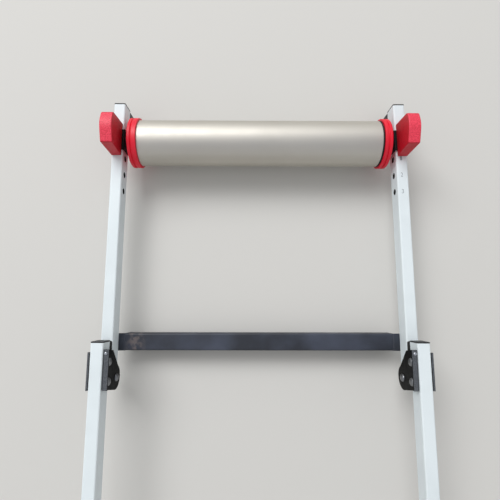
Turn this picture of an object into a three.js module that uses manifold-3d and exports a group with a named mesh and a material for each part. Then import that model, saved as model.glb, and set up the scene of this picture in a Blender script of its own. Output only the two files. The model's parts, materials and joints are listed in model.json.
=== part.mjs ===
// Folding bike rollers: three free-spinning drums in a two-part ladder frame.
// Millimetres. X runs across, +Y points to the front drum, +Z is up, the floor is z = 0.
// Lengths along Y are counted from the fold pivot, then the whole part is centred.
import * as THREE from 'three';
import { mergeVertices } from 'three/addons/utils/BufferGeometryUtils.js';
import Module from 'manifold-3d';

const wasm = await Module();
wasm.setup();

// Clearances shared by all pieces
const seatGap = 0.3;
const overrun = 2;

// Rails: white box tube, the rear pair stacked above the front pair
const railWidth = 20;
const railHeight = 30;
const railWall = 1.6;
const railCorner = 2.5;
const outerHalfWidth = 261.3;
const floorClearance = 39.5;
const stackGap = 11.4;

// Places along the frame, each from the fold pivot
const frontDrumReach = 408.5;
const frontOverhang = 68;
const hingeTail = 12;
const rearLap = 60.5;
const middleDrumReach = 515;
const drumSpacing = 256;
const rearOverhang = 70;

// Axle holes in the front rails
const holePitch = 30;
const freeHoles = 3;

// Drums and their moulded end caps
const drumDiameter = 80;
const drumWall = 2.5;
const drumSideGap = 13.3;
const capRise = 3.7;
const capWidth = 15.5;
const flangeWidth = 4.8;
const beltGrooveWidth = 3;
const beltGrooveDepth = 2.6;
const capWall = 3.2;
const spigotLength = 16;
const capRimRadius = 1.2;
const dishDepth = 4;
const jointRingWidth = 2.6;
const jointRingRise = 0.5;

// Axles, bearings and nuts
const axleDiameter = 10;
const axleChamfer = 0.8;
const bearingDiameter = 26;
const bearingWidth = 8;
const bearingLip = 1.6;
const shieldRecess = 0.8;
const innerRingDiameter = 16;
const bearingShoulder = 4;
const hexAcrossFlats = 16;
const hexHeight = 6.4;
const washerDiameter = 20;
const washerThickness = 1.5;

// Saddle that wraps the front rail at the axle, and the moulded guard on it
const saddleThickness = 2.5;
const saddleLength = 37;
const saddleDrop = 28;
const guardLength = 59.5;
const guardForward = 1;
const guardOutward = 1.4;
const guardWidth = 18;
const guardFlare = 2.6;
const guardWall = 3;
const guardRearRise = 49.8;
const guardRearDraft = 2.5;
const guardRearRadius = 3;
const guardCrownRise = 59.2;
const guardCrownPlace = 4;
const guardCrownRadius = 33;
const guardFrontRise = 52.2;
const guardFrontDraft = 4.2;
const guardFrontRadius = 8;
const guardEdge = 1.6;
const guardRib = 2.2;
const guardRibPitch = 18.5;

// Hinge: a bracket of folded sheet inside the rails and a plain plate of the same outline outside
const bracketThickness = 3;
const bracketFlange = 9;
const bracketBend = 4;
const bracketRear = 10;
const bracketFront = 50.5;
const bracketNose = 46;
const bracketNoseRise = 19;
const bracketThroat = 19;
const bracketThroatDrop = 7;
const lobeRadius = 19.5;
const bracketCorner = 5;
const plateSetback = 4;
const flangeRivetDiameter = 5.4;
const flangeRivetHeight = 1.6;
const flangeRivetInset = 5.5;

// Hinge bolts, domed at both ends; the rear rail's two sit below its middle
const boltDiameter = 8;
const boltDrop = 4;
const domeDiameter = 13;
const domeHeight = 4;

// End plugs, feet and pads
const plugFlange = 1.8;
const plugDepth = 16;
const plugWall = 2.2;
const plugFlangeProud = 0.2;
const footLength = 24;
const footWidth = 17;
const footToe = 15;
const restPadLength = 36;
const restPadWidth = 19;

// Stands: a black box bar with end plates and tabs that run under the rails
const barWidth = 29;
const barWall = 1.8;
const barCorner = 3;
const barStep = 1;
const frontBarReach = 56;
const rearBarInset = 20;
const endPlate = 3;
const endPlateInset = 9;
const tabLength = 28;
const tabThickness = 3;
const floorPadHeight = 4;
const floorPadLength = 34;
const floorPadInset = 8;
const weepDiameter = 7;
const standScrewDiameter = 6;
const standScrewGrip = 5;
const standScrewHead = 11;
const standScrewHeadHeight = 3.4;

// Facet counts
const drumFacets = 40;
const capFacets = 22;
const shaftFacets = 14;
const holeFacets = 12;
const cornerFacets = 2;
const domeFacets = 2;
const edgeFacets = 2;
const crownFacets = 4;
const hexSides = 6;

// Derived levels above the floor
const railInner = outerHalfWidth - railWidth;
const railMiddle = outerHalfWidth - railWidth / 2;
const frontRailTop = floorClearance + railHeight;
const frontRailMid = floorClearance + railHeight / 2;
const rearRailBottom = frontRailTop + stackGap;
const rearRailMid = rearRailBottom + railHeight / 2;
const rearRailTop = rearRailBottom + railHeight;
const stackRise = rearRailMid - frontRailMid;
const lapBoltLevel = rearRailMid - boltDrop;
const frontRailEnd = frontDrumReach + frontOverhang;
const rearDrumReach = middleDrumReach + drumSpacing;
const rearRailEnd = rearDrumReach + rearOverhang;
const rearBarReach = rearRailEnd - rearBarInset;

// Derived sizes of the running parts; the drums fill the frame but for a gap at each side
const drumLength = 2 * (railInner - drumSideGap - capWidth);
const axleRadius = axleDiameter / 2;
const axleHoleRadius = axleRadius + seatGap;
const boltRadius = boltDiameter / 2;
const boltHoleRadius = boltRadius + seatGap;
const bracketFace = railInner - seatGap - bracketThickness;
const plateFace = outerHalfWidth + seatGap + bracketThickness;
const barHalfLength = railInner - endPlateInset;

// Finishes
const finish = (color, roughness, metalness) =>
  new THREE.MeshStandardMaterial({ color, roughness, metalness });
const railWhite = finish(0xe9ecef, 0.35, 0.1);
const standBlack = finish(0x23242a, 0.5, 0.3);
const bracketBlack = finish(0x1c1d1f, 0.45, 0.3);
const plasticBlack = finish(0x121314, 0.5, 0);
const rubberBlack = finish(0x17181a, 0.85, 0);
const drumSilver = finish(0xc9c4b8, 0.35, 0.9);
const plasticRed = finish(0xc5142a, 0.32, 0);
const zincSteel = finish(0xb9bcc0, 0.35, 1);
const bearingSteel = finish(0x9ea2a6, 0.3, 1);

// Turns a closed geometry into a solid: shared corners merged, empty facets dropped
function solid(geometry) {
  const bare = geometry.clone();
  bare.deleteAttribute('normal');
  bare.deleteAttribute('uv');
  const merged = mergeVertices(bare);
  const index = merged.index.array;
  const kept = [];
  for (let i = 0; i < index.length; i += 3) {
    const [a, b, c] = [index[i], index[i + 1], index[i + 2]];
    if (a !== b && b !== c && c !== a) kept.push(a, b, c);
  }
  return new wasm.Manifold(new wasm.Mesh({
    numProp: 3,
    vertProperties: Float32Array.from(merged.attributes.position.array),
    triVerts: Uint32Array.from(kept),
  }));
}

// Gives a solid back as a geometry
function shell(manifold) {
  const mesh = manifold.getMesh();
  const geometry = new THREE.BufferGeometry();
  geometry.setAttribute('position', new THREE.BufferAttribute(mesh.vertProperties, 3));
  geometry.setIndex(new THREE.BufferAttribute(mesh.triVerts, 1));
  geometry.computeVertexNormals();
  return geometry;
}

const join = (...pieces) => shell(pieces.map(solid).reduce((sum, next) => sum.add(next)));
const cut = (piece, ...tools) =>
  shell(tools.map(solid).reduce((rest, tool) => rest.subtract(tool), solid(piece)));
const common = (first, second) => shell(solid(first).intersect(solid(second)));

// Stands a shape drawn in X and Z along Y, its start at y = 0, growing towards -Y
function alongY(geometry) {
  const x = new THREE.Vector3(1, 0, 0);
  const y = new THREE.Vector3(0, 1, 0);
  const z = new THREE.Vector3(0, 0, 1);
  return geometry.applyMatrix4(new THREE.Matrix4().makeBasis(x, z, y.negate()));
}

// Stands a shape drawn in Y and Z along X, its start at x = 0, growing towards +X
function alongX(geometry) {
  const x = new THREE.Vector3(1, 0, 0);
  const y = new THREE.Vector3(0, 1, 0);
  const z = new THREE.Vector3(0, 0, 1);
  return geometry.applyMatrix4(new THREE.Matrix4().makeBasis(y, z, x));
}

// The same piece for the other side of the frame
function mirrored(geometry) {
  const copy = geometry.clone().applyMatrix4(new THREE.Matrix4().makeScale(-1, 1, 1));
  const index = copy.index ? Array.from(copy.index.array)
    : Array.from({ length: copy.attributes.position.count }, (_, i) => i);
  for (let i = 0; i < index.length; i += 3) {
    [index[i], index[i + 1]] = [index[i + 1], index[i]];
  }
  copy.setIndex(index);
  copy.computeVertexNormals();
  return copy;
}

// A rectangle with round corners, centred on its own origin
function roundedRectangle(width, height, radius) {
  const [x, y] = [width / 2, height / 2];
  const shape = new THREE.Shape();
  shape.moveTo(x, y - radius);
  shape.absarc(x - radius, y - radius, radius, 0, Math.PI / 2);
  shape.absarc(radius - x, y - radius, radius, Math.PI / 2, Math.PI);
  shape.absarc(radius - x, radius - y, radius, Math.PI, 1.5 * Math.PI);
  shape.absarc(x - radius, radius - y, radius, 1.5 * Math.PI, 2 * Math.PI);
  return shape;
}

// A sharp-cornered rectangular tube section
function squareTube(width, height, wall) {
  const rectangle = (x, y) =>
    [[x, y], [-x, y], [-x, -y], [x, -y]].map((corner) => new THREE.Vector2(...corner));
  const shape = new THREE.Shape(rectangle(width / 2, height / 2));
  shape.holes.push(new THREE.Path(rectangle(width / 2 - wall, height / 2 - wall)));
  return shape;
}

const extruded = (shape, depth) => new THREE.ExtrudeGeometry(
  shape, { depth, bevelEnabled: false, curveSegments: cornerFacets });

// A box given by its span along each axis
function block([x0, x1], [y0, y1], [z0, z1]) {
  const box = new THREE.BoxGeometry(x1 - x0, y1 - y0, z1 - z0);
  return box.translate((x0 + x1) / 2, (y0 + y1) / 2, (z0 + z1) / 2);
}

// A cylinder along X
function rod(radius, [x0, x1], y = 0, z = 0, facets = holeFacets) {
  const bar = new THREE.CylinderGeometry(radius, radius, x1 - x0, facets);
  return bar.rotateZ(-Math.PI / 2).translate((x0 + x1) / 2, y, z);
}

// A cylinder along Z
function post(radius, [z0, z1], x, y, facets = holeFacets) {
  const bar = new THREE.CylinderGeometry(radius, radius, z1 - z0, facets);
  return bar.rotateX(Math.PI / 2).translate(x, y, (z0 + z1) / 2);
}

// A hexagonal prism along X, flats up and down
function hexagon(acrossFlats, [x0, x1]) {
  const halfTurn = Math.PI / hexSides;
  const radius = acrossFlats / (2 * Math.cos(halfTurn));
  const prism = new THREE.CylinderGeometry(radius, radius, x1 - x0, hexSides);
  return prism.rotateY(halfTurn).rotateZ(-Math.PI / 2).translate((x0 + x1) / 2, 0, 0);
}

// A profile of [along X, radius] points turned about the X axis and closed on itself
function turned(profile, facets) {
  const points = [...profile, profile[0]].map(([x, r]) => new THREE.Vector2(r, x));
  return new THREE.LatheGeometry(points, facets).rotateZ(-Math.PI / 2);
}

// An outline with its corners rounded: each corner is [u, v, radius]
function roundedOutline(corners) {
  const shape = new THREE.Shape();
  corners.forEach(([u, v, radius], i) => {
    const here = new THREE.Vector2(u, v);
    const [pu, pv] = corners[(i + corners.length - 1) % corners.length];
    const [nu, nv] = corners[(i + 1) % corners.length];
    const back = new THREE.Vector2(pu, pv).sub(here);
    const ahead = new THREE.Vector2(nu, nv).sub(here);
    const turn = Math.abs(back.angleTo(ahead));
    const reach = Math.min(radius / Math.tan(turn / 2), back.length() / 2, ahead.length() / 2);
    const enter = here.clone().addScaledVector(back.normalize(), reach);
    const leave = here.clone().addScaledVector(ahead.normalize(), reach);
    if (i === 0) shape.moveTo(enter.x, enter.y);
    else shape.lineTo(enter.x, enter.y);
    if (reach > 0) shape.quadraticCurveTo(u, v, leave.x, leave.y);
  });
  shape.closePath();
  return shape;
}

// Frame: one rail, from its front end at y = 0 to y = -length, bored across at the given places
// (along, radius, height over its middle) and from below at the stand's screw
function rail(length, bores, screwPlace) {
  const section = roundedRectangle(railWidth, railHeight, railCorner);
  section.holes.push(roundedRectangle(
    railWidth - 2 * railWall, railHeight - 2 * railWall, railCorner - railWall));
  const reach = railWidth / 2 + overrun;
  const holes = bores.map(([y, radius, z = 0]) => rod(radius, [-reach, reach], y, z));
  const screw = post(standScrewDiameter / 2 + seatGap, [-railHeight / 2 - overrun, 0], 0, screwPlace);
  return cut(alongY(extruded(section, length)), screw, ...holes);
}

// End plug: a flange over the tube's end and a hollow stub that runs depth into it, facing +Y
function plugSolid(depth) {
  const proud = 2 * plugFlangeProud;
  const flange = roundedRectangle(railWidth + proud, railHeight + proud, railCorner + plugFlangeProud);
  const bore = railWall + seatGap;
  const stubWidth = railWidth - 2 * bore;
  const stubHeight = railHeight - 2 * bore;
  const stub = squareTube(stubWidth, stubHeight, plugWall);
  const face = alongY(extruded(flange, plugFlange)).translate(0, plugFlange + seatGap, 0);
  const body = alongY(extruded(stub, depth + seatGap + plugFlange / 2));
  return join(face, body.translate(0, seatGap + plugFlange / 2, 0));
}

// Front foot: the end plug with a moulded leg that drops to the floor
function frontFoot() {
  const top = -railHeight / 2 - seatGap;
  const floor = -railHeight / 2 - floorClearance;
  const nose = plugFlange + seatGap;
  const side = roundedOutline([
    [nose, top + railWall, 0],
    [nose, floor, plugFlange],
    [nose - footToe, floor, plugFlange],
    [nose - footLength, top, 0],
    [seatGap, top, 0],
    [seatGap, top + railWall, 0],
  ]);
  const leg = alongX(extruded(side, footWidth)).translate(-footWidth / 2, 0, 0);
  return join(plugSolid(plugDepth), leg);
}

// Stand: box bar between the rails, end plates, and tabs under the rails at tabLevel
function stand(tabLevel) {
  const barTop = floorClearance - seatGap - barStep;
  const barBottom = floorPadHeight + seatGap;
  const tabTop = tabLevel - seatGap;
  const height = barTop - barBottom;
  const section = roundedRectangle(barWidth, height, barCorner);
  section.holes.push(roundedRectangle(
    barWidth - 2 * barWall, height - 2 * barWall, barCorner - barWall));
  const inside = barHalfLength - endPlate;
  const bar = alongX(extruded(section, 2 * inside))
    .translate(-inside, 0, (barTop + barBottom) / 2);
  const half = barWidth / 2;
  const plates = [-1, 1].flatMap((side) => {
    const span = (a, b) => (side > 0 ? [a, b] : [-b, -a]);
    const weep = rod(weepDiameter / 2, span(inside - overrun, barHalfLength + overrun),
      0, (barTop + barBottom) / 2);
    const screw = post(standScrewDiameter / 2 + seatGap,
      [tabTop - tabThickness - overrun, tabTop + overrun], side * railMiddle, 0);
    const plate = block(span(inside, barHalfLength), [-half, half], [barBottom, tabTop]);
    const tab = block(span(inside, barHalfLength + tabLength), [-half, half],
      [tabTop - tabThickness, tabTop]);
    return [cut(join(plate, tab), weep, screw)];
  });
  return join(bar, ...plates);
}

// Screw that holds a stand's tab to a rail from below; z = 0 is the rail's underside
function standScrew() {
  const face = -tabThickness - 2 * seatGap;
  const radius = standScrewDiameter / 2;
  return turned([
    [face - standScrewHeadHeight, 0],
    ...dome(face, -1, standScrewHead / 2, standScrewHeadHeight).reverse(),
    [face, radius],
    [standScrewGrip - axleChamfer, radius],
    [standScrewGrip, radius - axleChamfer],
    [standScrewGrip, 0],
  ], shaftFacets).rotateY(-Math.PI / 2);
}

// Rubber pad under a stand, centred below the bar's end
function floorPad() {
  const pad = roundedRectangle(floorPadLength, barWidth - 2 * barWall, barCorner);
  return new THREE.ExtrudeGeometry(pad, {
    depth: floorPadHeight, bevelEnabled: false, curveSegments: cornerFacets });
}

// Rubber strip between the stacked rails
function restPad() {
  const pad = roundedRectangle(restPadWidth, restPadLength, railCorner);
  return extruded(pad, stackGap - 2 * seatGap);
}

// Outline that the hinge's two sheets share, as a solid across the given span: a plate over
// the stacked rails that narrows to a lobe round the pivot, bored for the three bolts; setback
// shortens its front end
function hingeSide([x0, x1], top, setback = 0) {
  const lobe = lobeRadius * Math.SQRT1_2;
  const front = bracketFront - setback;
  const lap = lapBoltLevel - frontRailMid;
  const outline = roundedOutline([
    [-bracketRear, top, 0],
    [front, top, 0],
    [front, top - bracketBend, bracketCorner],
    [bracketNose - setback, bracketNoseRise, bracketCorner],
    [bracketThroat, -bracketThroatDrop, lobeRadius],
    [lobe, -lobe, 0],
    [-lobe, -lobe, 0],
    [-lobeRadius, 0, lobeRadius],
    [-bracketRear, top - bracketBend, bracketCorner],
  ]);
  const plate = alongX(extruded(outline, x1 - x0)).translate(x0, 0, 0);
  const boss = rod(lobeRadius, [x0, x1], 0, 0, capFacets);
  const bores = [[0, 0], [0, lap], [holePitch, lap]].map(([y, z]) =>
    rod(boltHoleRadius, [x0 - overrun, x1 + overrun], y, z));
  return cut(join(plate, boss), ...bores);
}

// Hinge bracket for the right side: an L section cut to the hinge's outline, from the pivot
function hingeBracket() {
  const top = stackRise + railHeight / 2;
  const outer = railInner - seatGap;
  const length = bracketFront + lobeRadius + 2 * overrun;
  const inner = bracketBend - bracketThickness;
  const section = new THREE.Shape();
  section.moveTo(outer, -lobeRadius - overrun);
  section.lineTo(outer, top - bracketBend);
  section.absarc(outer - bracketBend, top - bracketBend, bracketBend, 0, Math.PI / 2);
  section.lineTo(outer - bracketFlange, top);
  section.lineTo(outer - bracketFlange, top - bracketThickness);
  section.lineTo(bracketFace - inner, top - bracketThickness);
  section.absarc(bracketFace - inner, top - bracketBend, inner, Math.PI / 2, 0, true);
  section.lineTo(bracketFace, -lobeRadius - overrun);
  const folded = alongY(extruded(section, length)).translate(0, bracketFront + overrun, 0);
  return common(folded, hingeSide([outer - bracketFlange - overrun, outer + overrun],
    top + overrun));
}

// Dome of a screw head as [along, radius] points, its flat side at the given place
function dome(at, direction, radius, height) {
  return Array.from({ length: domeFacets }, (_, i) => {
    const angle = (i / domeFacets) * (Math.PI / 2);
    return [at + direction * height * Math.sin(angle), radius * Math.cos(angle)];
  });
}

// Hinge bolt for the right side, through rail and sheets, with a dome at each end
function hingeBolt() {
  const head = bracketFace - seatGap;
  const tail = plateFace + seatGap;
  return turned([
    [head - domeHeight, 0],
    ...dome(head, -1, domeDiameter / 2, domeHeight).reverse(),
    [head, boltRadius],
    [tail, boltRadius],
    ...dome(tail, 1, domeDiameter / 2, domeHeight),
    [tail + domeHeight, 0],
  ], shaftFacets);
}

// Rivet head on the bracket's top flange
function flangeRivet() {
  const top = flangeRivetHeight;
  const profile = [[0, 0], ...dome(0, 1, flangeRivetDiameter / 2, top), [top, 0]];
  return turned(profile, shaftFacets).rotateY(-Math.PI / 2);
}

// Drum tube, centred across the frame
function drumTube() {
  const half = drumLength / 2;
  const [outer, inner] = [drumDiameter / 2, drumDiameter / 2 - drumWall];
  return turned([[-half, inner], [-half, outer], [half, outer], [half, inner]], drumFacets);
}

// Moulded cap for the right end; shoulder is where its rim starts, outboard of the tube's end
function drumCap(shoulder) {
  const end = drumLength / 2;
  const rim = drumDiameter / 2 + capRise;
  const face = end + capWidth;
  const grooveEnd = face - flangeWidth;
  const grooveStart = grooveEnd - beltGrooveWidth;
  const start = end + shoulder;
  const spigot = drumDiameter / 2 - drumWall - seatGap;
  const bearingBack = face - seatGap - bearingWidth - shieldRecess;
  const bore = bearingDiameter / 2 + seatGap;
  const neck = innerRingDiameter / 2 + 2 * seatGap;
  const web = end - capWall;
  return turned([
    [end - spigotLength, spigot - capWall],
    [end - spigotLength, spigot],
    [start, spigot],
    [start, rim],
    [grooveStart, rim],
    [grooveStart + beltGrooveWidth / 2, rim - beltGrooveDepth],
    [grooveEnd, rim],
    [face - capRimRadius, rim],
    [face, rim - capRimRadius],
    [face, rim - capWall - capRimRadius],
    [face - dishDepth, rim - capWall - 2 * capRimRadius],
    [face - dishDepth, bore + capWall + capRimRadius],
    [face, bore + capWall],
    [face, bore],
    [bearingBack, bore],
    [bearingBack, neck],
    [bearingBack - bearingShoulder, neck],
    [bearingBack - bearingShoulder, bore + capWall],
    [web, spigot - capWall],
  ], capFacets);
}

// Black ring that fills the gap between tube and right cap
function jointRing() {
  const start = drumLength / 2 + seatGap;
  const inner = drumDiameter / 2 - drumWall;
  const outer = drumDiameter / 2 + jointRingRise;
  return turned([
    [start, inner],
    [start, outer],
    [start + jointRingWidth - 2 * seatGap, outer],
    [start + jointRingWidth - 2 * seatGap, inner],
  ], capFacets);
}

// Shielded bearing for the right end, its inner ring carried on to the frame at stop
function bearing(stop) {
  const outside = drumLength / 2 + capWidth - shieldRecess;
  const inside = outside - bearingWidth;
  const outer = bearingDiameter / 2;
  const ring = innerRingDiameter / 2;
  return turned([
    [inside, axleHoleRadius],
    [inside, outer],
    [outside, outer],
    [outside, outer - bearingLip],
    [outside - shieldRecess, outer - bearingLip],
    [outside - shieldRecess, ring],
    [stop - seatGap, ring],
    [stop - seatGap, axleHoleRadius],
  ], shaftFacets);
}

// Axle with its washer and hex head on the left, threaded end on the right; clamp is the
// outermost face that it clamps
function axle(clamp) {
  const head = clamp + seatGap;
  const tip = head + washerThickness + hexHeight;
  const shaft = turned([
    [-head, 0],
    [-head, axleRadius],
    [tip - axleChamfer, axleRadius],
    [tip, axleRadius - axleChamfer],
    [tip, 0],
  ], shaftFacets);
  const washer = rod(washerDiameter / 2, [-head - washerThickness, -head], 0, 0, shaftFacets);
  return join(shaft, washer, hexagon(hexAcrossFlats, [-tip, -head - washerThickness]));
}

// Axle nut with its washer, on the right
function axleNut(clamp) {
  const start = clamp + seatGap;
  const end = start + washerThickness + hexHeight;
  const washer = rod(washerDiameter / 2, [start, start + washerThickness], 0, 0, shaftFacets);
  const nut = join(washer, hexagon(hexAcrossFlats, [start + washerThickness, end]));
  return cut(nut, rod(axleHoleRadius, [start - overrun, end + overrun], 0, 0, shaftFacets));
}

// Saddle: sheet folded over the rail, bored for the axle; centred on rail and axle
function saddle() {
  const inside = railWidth / 2 + seatGap;
  const outside = inside + saddleThickness;
  const top = railHeight / 2 + seatGap;
  const bottom = top - saddleDrop;
  const section = new THREE.Shape();
  section.moveTo(outside, bottom);
  section.lineTo(outside, top);
  section.absarc(outside - saddleThickness, top, saddleThickness, 0, Math.PI / 2);
  section.absarc(saddleThickness - outside, top, saddleThickness, Math.PI / 2, Math.PI);
  section.lineTo(-outside, bottom);
  section.lineTo(-inside, bottom);
  section.lineTo(-inside, top);
  section.lineTo(inside, top);
  section.lineTo(inside, bottom);
  const sheet = alongY(extruded(section, saddleLength)).translate(0, saddleLength / 2, 0);
  const reach = outside + overrun;
  return cut(sheet, rod(axleHoleRadius, [-reach, reach]));
}

// Side view of the guard as [along, up] outline, shrunk by inset for its hollow
function guardOutline(inset) {
  const half = guardLength / 2 - inset;
  const base = inset > 0 ? -overrun : 0;
  return roundedOutline([
    [-half, base, 0],
    [half, base, 0],
    [half - guardFrontDraft, guardFrontRise - inset, guardFrontRadius - inset],
    [guardCrownPlace, guardCrownRise - inset, guardCrownRadius - inset],
    [guardRearDraft - half, guardRearRise - inset, Math.max(guardRearRadius - inset, 0)],
  ]);
}

// Widens a piece steadily from z = 0 up to the guard's crown
function flared(geometry) {
  const rate = guardFlare / guardWidth / guardCrownRise;
  const { position } = geometry.attributes;
  for (let i = 0; i < position.count; i += 1) {
    position.setX(i, position.getX(i) * (1 + rate * position.getZ(i)));
  }
  return geometry;
}

// Guard: moulded block, crowned along the rail, hollow below, notched over the saddle and
// ribbed inside; x = 0 is its own middle, y = 0 the axle
function guard() {
  const moulded = new THREE.ExtrudeGeometry(guardOutline(guardEdge), {
    depth: guardWidth - 2 * guardEdge, bevelThickness: guardEdge, bevelSize: guardEdge,
    bevelSegments: edgeFacets, curveSegments: crownFacets });
  const body = alongX(moulded).translate(guardEdge - guardWidth / 2, 0, 0);
  const floor = block([-guardWidth, guardWidth], [-guardLength, guardLength],
    [-guardCrownRise, 0]);
  const hollowWidth = guardWidth - 2 * guardWall;
  const hollow = alongX(extruded(guardOutline(guardWall), hollowWidth))
    .translate(-hollowWidth / 2, 0, 0);
  const ribs = [-1, 1].map((side) => {
    const middle = side * guardRibPitch / 2;
    return block([-guardWidth, guardWidth], [middle - guardRib / 2, middle + guardRib / 2],
      [0, guardCrownRise]);
  });
  const walled = flared(cut(body, floor, cut(hollow, ...ribs))).translate(0, guardForward, 0);
  const notch = block([-guardWidth, guardWidth],
    [-saddleLength / 2 - seatGap, saddleLength / 2 + seatGap],
    [-overrun, saddleThickness + seatGap]);
  return cut(walled, notch);
}

const part = new THREE.Group();
const frontReach = frontRailEnd + seatGap + plugFlange;
const rearReach = rearRailEnd + seatGap + plugFlange;
const frame = new THREE.Group();
frame.position.y = (rearReach - frontReach) / 2;
part.add(frame);

// Adds one named piece at a place given from the pivot
function place(name, geometry, material, x = 0, y = 0, z = 0) {
  const mesh = new THREE.Mesh(geometry, material);
  mesh.name = name;
  mesh.position.set(x, y, z);
  frame.add(mesh);
  return mesh;
}

// Adds a pair: the right piece as drawn and its mirror image on the left
function placePair(name, geometry, material, x = 0, y = 0, z = 0) {
  place(`${name}_right`, geometry, material, x, y, z);
  place(`${name}_left`, mirrored(geometry), material, -x, y, z);
}

// Front section
const axleBores = Array.from({ length: freeHoles + 1 }, (_, i) =>
  [-frontOverhang - i * holePitch, axleHoleRadius]);
const frontRailLength = frontRailEnd + hingeTail;
const frontBores = [...axleBores, [-frontRailEnd, boltHoleRadius]];
placePair('front_rail', rail(frontRailLength, frontBores, frontBarReach - frontRailEnd),
  railWhite, railMiddle, frontRailEnd, frontRailMid);
placePair('front_foot', frontFoot(), plasticBlack, railMiddle, frontRailEnd, frontRailMid);
place('front_stand', stand(floorClearance), standBlack, 0, frontBarReach, 0);
placePair('front_stand_screw', standScrew(), zincSteel, railMiddle, frontBarReach, floorClearance);
placePair('front_stand_pad', floorPad(), rubberBlack,
  barHalfLength - floorPadInset - floorPadLength / 2, frontBarReach, 0);
placePair('axle_saddle', saddle(), bracketBlack, railMiddle, frontDrumReach, frontRailMid);
placePair('wheel_guard', guard(), plasticRed,
  railMiddle + guardOutward, frontDrumReach, frontRailTop + seatGap);

// Rear section
const lapBores = [rearLap, rearLap - holePitch].map((y) => [-y, boltHoleRadius, -boltDrop]);
const drumBores = [middleDrumReach, rearDrumReach].map((y) => [-rearLap - y, axleHoleRadius]);
const rearBores = [...lapBores, ...drumBores];
placePair('rear_rail', rail(rearLap + rearRailEnd, rearBores, -rearLap - rearBarReach),
  railWhite, railMiddle, rearLap, rearRailMid);
placePair('rear_rail_front_plug', plugSolid(plugDepth), plasticBlack,
  railMiddle, rearLap, rearRailMid);
placePair('rear_rail_rear_plug', plugSolid(plugDepth).rotateZ(Math.PI), plasticBlack,
  railMiddle, -rearRailEnd, rearRailMid);
placePair('rest_pad', restPad(), rubberBlack,
  railMiddle, rearLap - restPadLength / 2, frontRailTop + seatGap);
placePair('hinge_bracket', hingeBracket(), bracketBlack, 0, 0, frontRailMid);
placePair('hinge_plate', hingeSide([outerHalfWidth + seatGap, plateFace],
  rearRailTop - frontRailMid, plateSetback), bracketBlack, 0, 0, frontRailMid);
placePair('pivot_bolt', hingeBolt(), zincSteel, 0, 0, frontRailMid);
placePair('bracket_bolt_rear', hingeBolt(), zincSteel, 0, 0, lapBoltLevel);
placePair('bracket_bolt_front', hingeBolt(), zincSteel, 0, holePitch, lapBoltLevel);
placePair('flange_rivet', flangeRivet(), zincSteel,
  railInner - seatGap - bracketFlange / 2, bracketFront - flangeRivetInset, rearRailTop + seatGap);
place('rear_stand', stand(rearRailBottom), standBlack, 0, -rearBarReach, 0);
placePair('rear_stand_screw', standScrew(), zincSteel, railMiddle, -rearBarReach, rearRailBottom);
placePair('rear_stand_pad', floorPad(), rubberBlack,
  barHalfLength - floorPadInset - floorPadLength / 2, -rearBarReach, 0);

// Drums: name, place along the frame, height, the faces its bearings and axle meet
const saddleInside = railInner - seatGap - saddleThickness;
const saddleOutside = outerHalfWidth + seatGap + saddleThickness;
const drums = [
  ['front', frontDrumReach, frontRailMid, saddleInside, saddleOutside, jointRingWidth],
  ['middle', -middleDrumReach, rearRailMid, railInner, outerHalfWidth, 0],
  ['rear', -rearDrumReach, rearRailMid, railInner, outerHalfWidth, 0],
];
for (const [name, y, z, stop, clamp, ring] of drums) {
  const cap = drumCap(seatGap);
  place(`${name}_drum_tube`, drumTube(), drumSilver, 0, y, z);
  place(`${name}_drum_cap_right`, drumCap(seatGap + ring), plasticRed, 0, y, z);
  place(`${name}_drum_cap_left`, mirrored(cap), plasticRed, 0, y, z);
  if (ring > 0) place(`${name}_drum_joint_ring`, jointRing(), rubberBlack, 0, y, z);
  placePair(`${name}_bearing`, bearing(stop), bearingSteel, 0, y, z);
  place(`${name}_axle`, axle(clamp), zincSteel, 0, y, z);
  place(`${name}_axle_nut`, axleNut(clamp), zincSteel, 0, y, z);
}

export default part;
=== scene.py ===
"""Looks of folding bike rollers: three drums in a two-part ladder frame.

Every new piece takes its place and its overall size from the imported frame, in metres. This
file adds what a maker would draw last: fillets, grooves, bends, bores and the finishes.
"""

import json
import logging
import math
from collections.abc import Callable, Sequence
from dataclasses import dataclass
from enum import Enum, IntEnum
from typing import Any

import bmesh
import bpy
import numpy as np
from mathutils import Euler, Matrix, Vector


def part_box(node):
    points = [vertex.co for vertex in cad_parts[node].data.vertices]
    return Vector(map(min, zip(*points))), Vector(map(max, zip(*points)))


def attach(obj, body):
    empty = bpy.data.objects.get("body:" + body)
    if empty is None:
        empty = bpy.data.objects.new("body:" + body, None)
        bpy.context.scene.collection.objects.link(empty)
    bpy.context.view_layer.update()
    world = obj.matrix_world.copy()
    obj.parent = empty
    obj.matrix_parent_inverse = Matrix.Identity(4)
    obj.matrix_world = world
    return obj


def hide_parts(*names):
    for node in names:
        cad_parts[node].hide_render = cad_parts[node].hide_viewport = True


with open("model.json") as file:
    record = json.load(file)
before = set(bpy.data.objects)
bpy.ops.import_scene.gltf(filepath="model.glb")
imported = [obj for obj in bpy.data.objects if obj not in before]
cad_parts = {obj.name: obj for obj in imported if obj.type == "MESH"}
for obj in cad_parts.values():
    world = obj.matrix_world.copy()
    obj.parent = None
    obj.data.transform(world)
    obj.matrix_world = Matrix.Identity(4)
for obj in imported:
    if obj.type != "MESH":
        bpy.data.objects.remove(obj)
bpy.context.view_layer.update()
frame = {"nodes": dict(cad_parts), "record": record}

LOG = logging.getLogger("rollers")

Array = np.ndarray
Pair = tuple[float, float]
Triple = tuple[float, float, float]
Piece = bpy.types.Object
Tree = bpy.types.NodeTree
Socket = bpy.types.NodeSocket

MM_PER_METRE = 1000.0
# The gap that touching pieces keep, and how far a cutter runs past what it cuts.
SEAT_GAP = 0.0003
OVERRUN = 0.002
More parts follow.
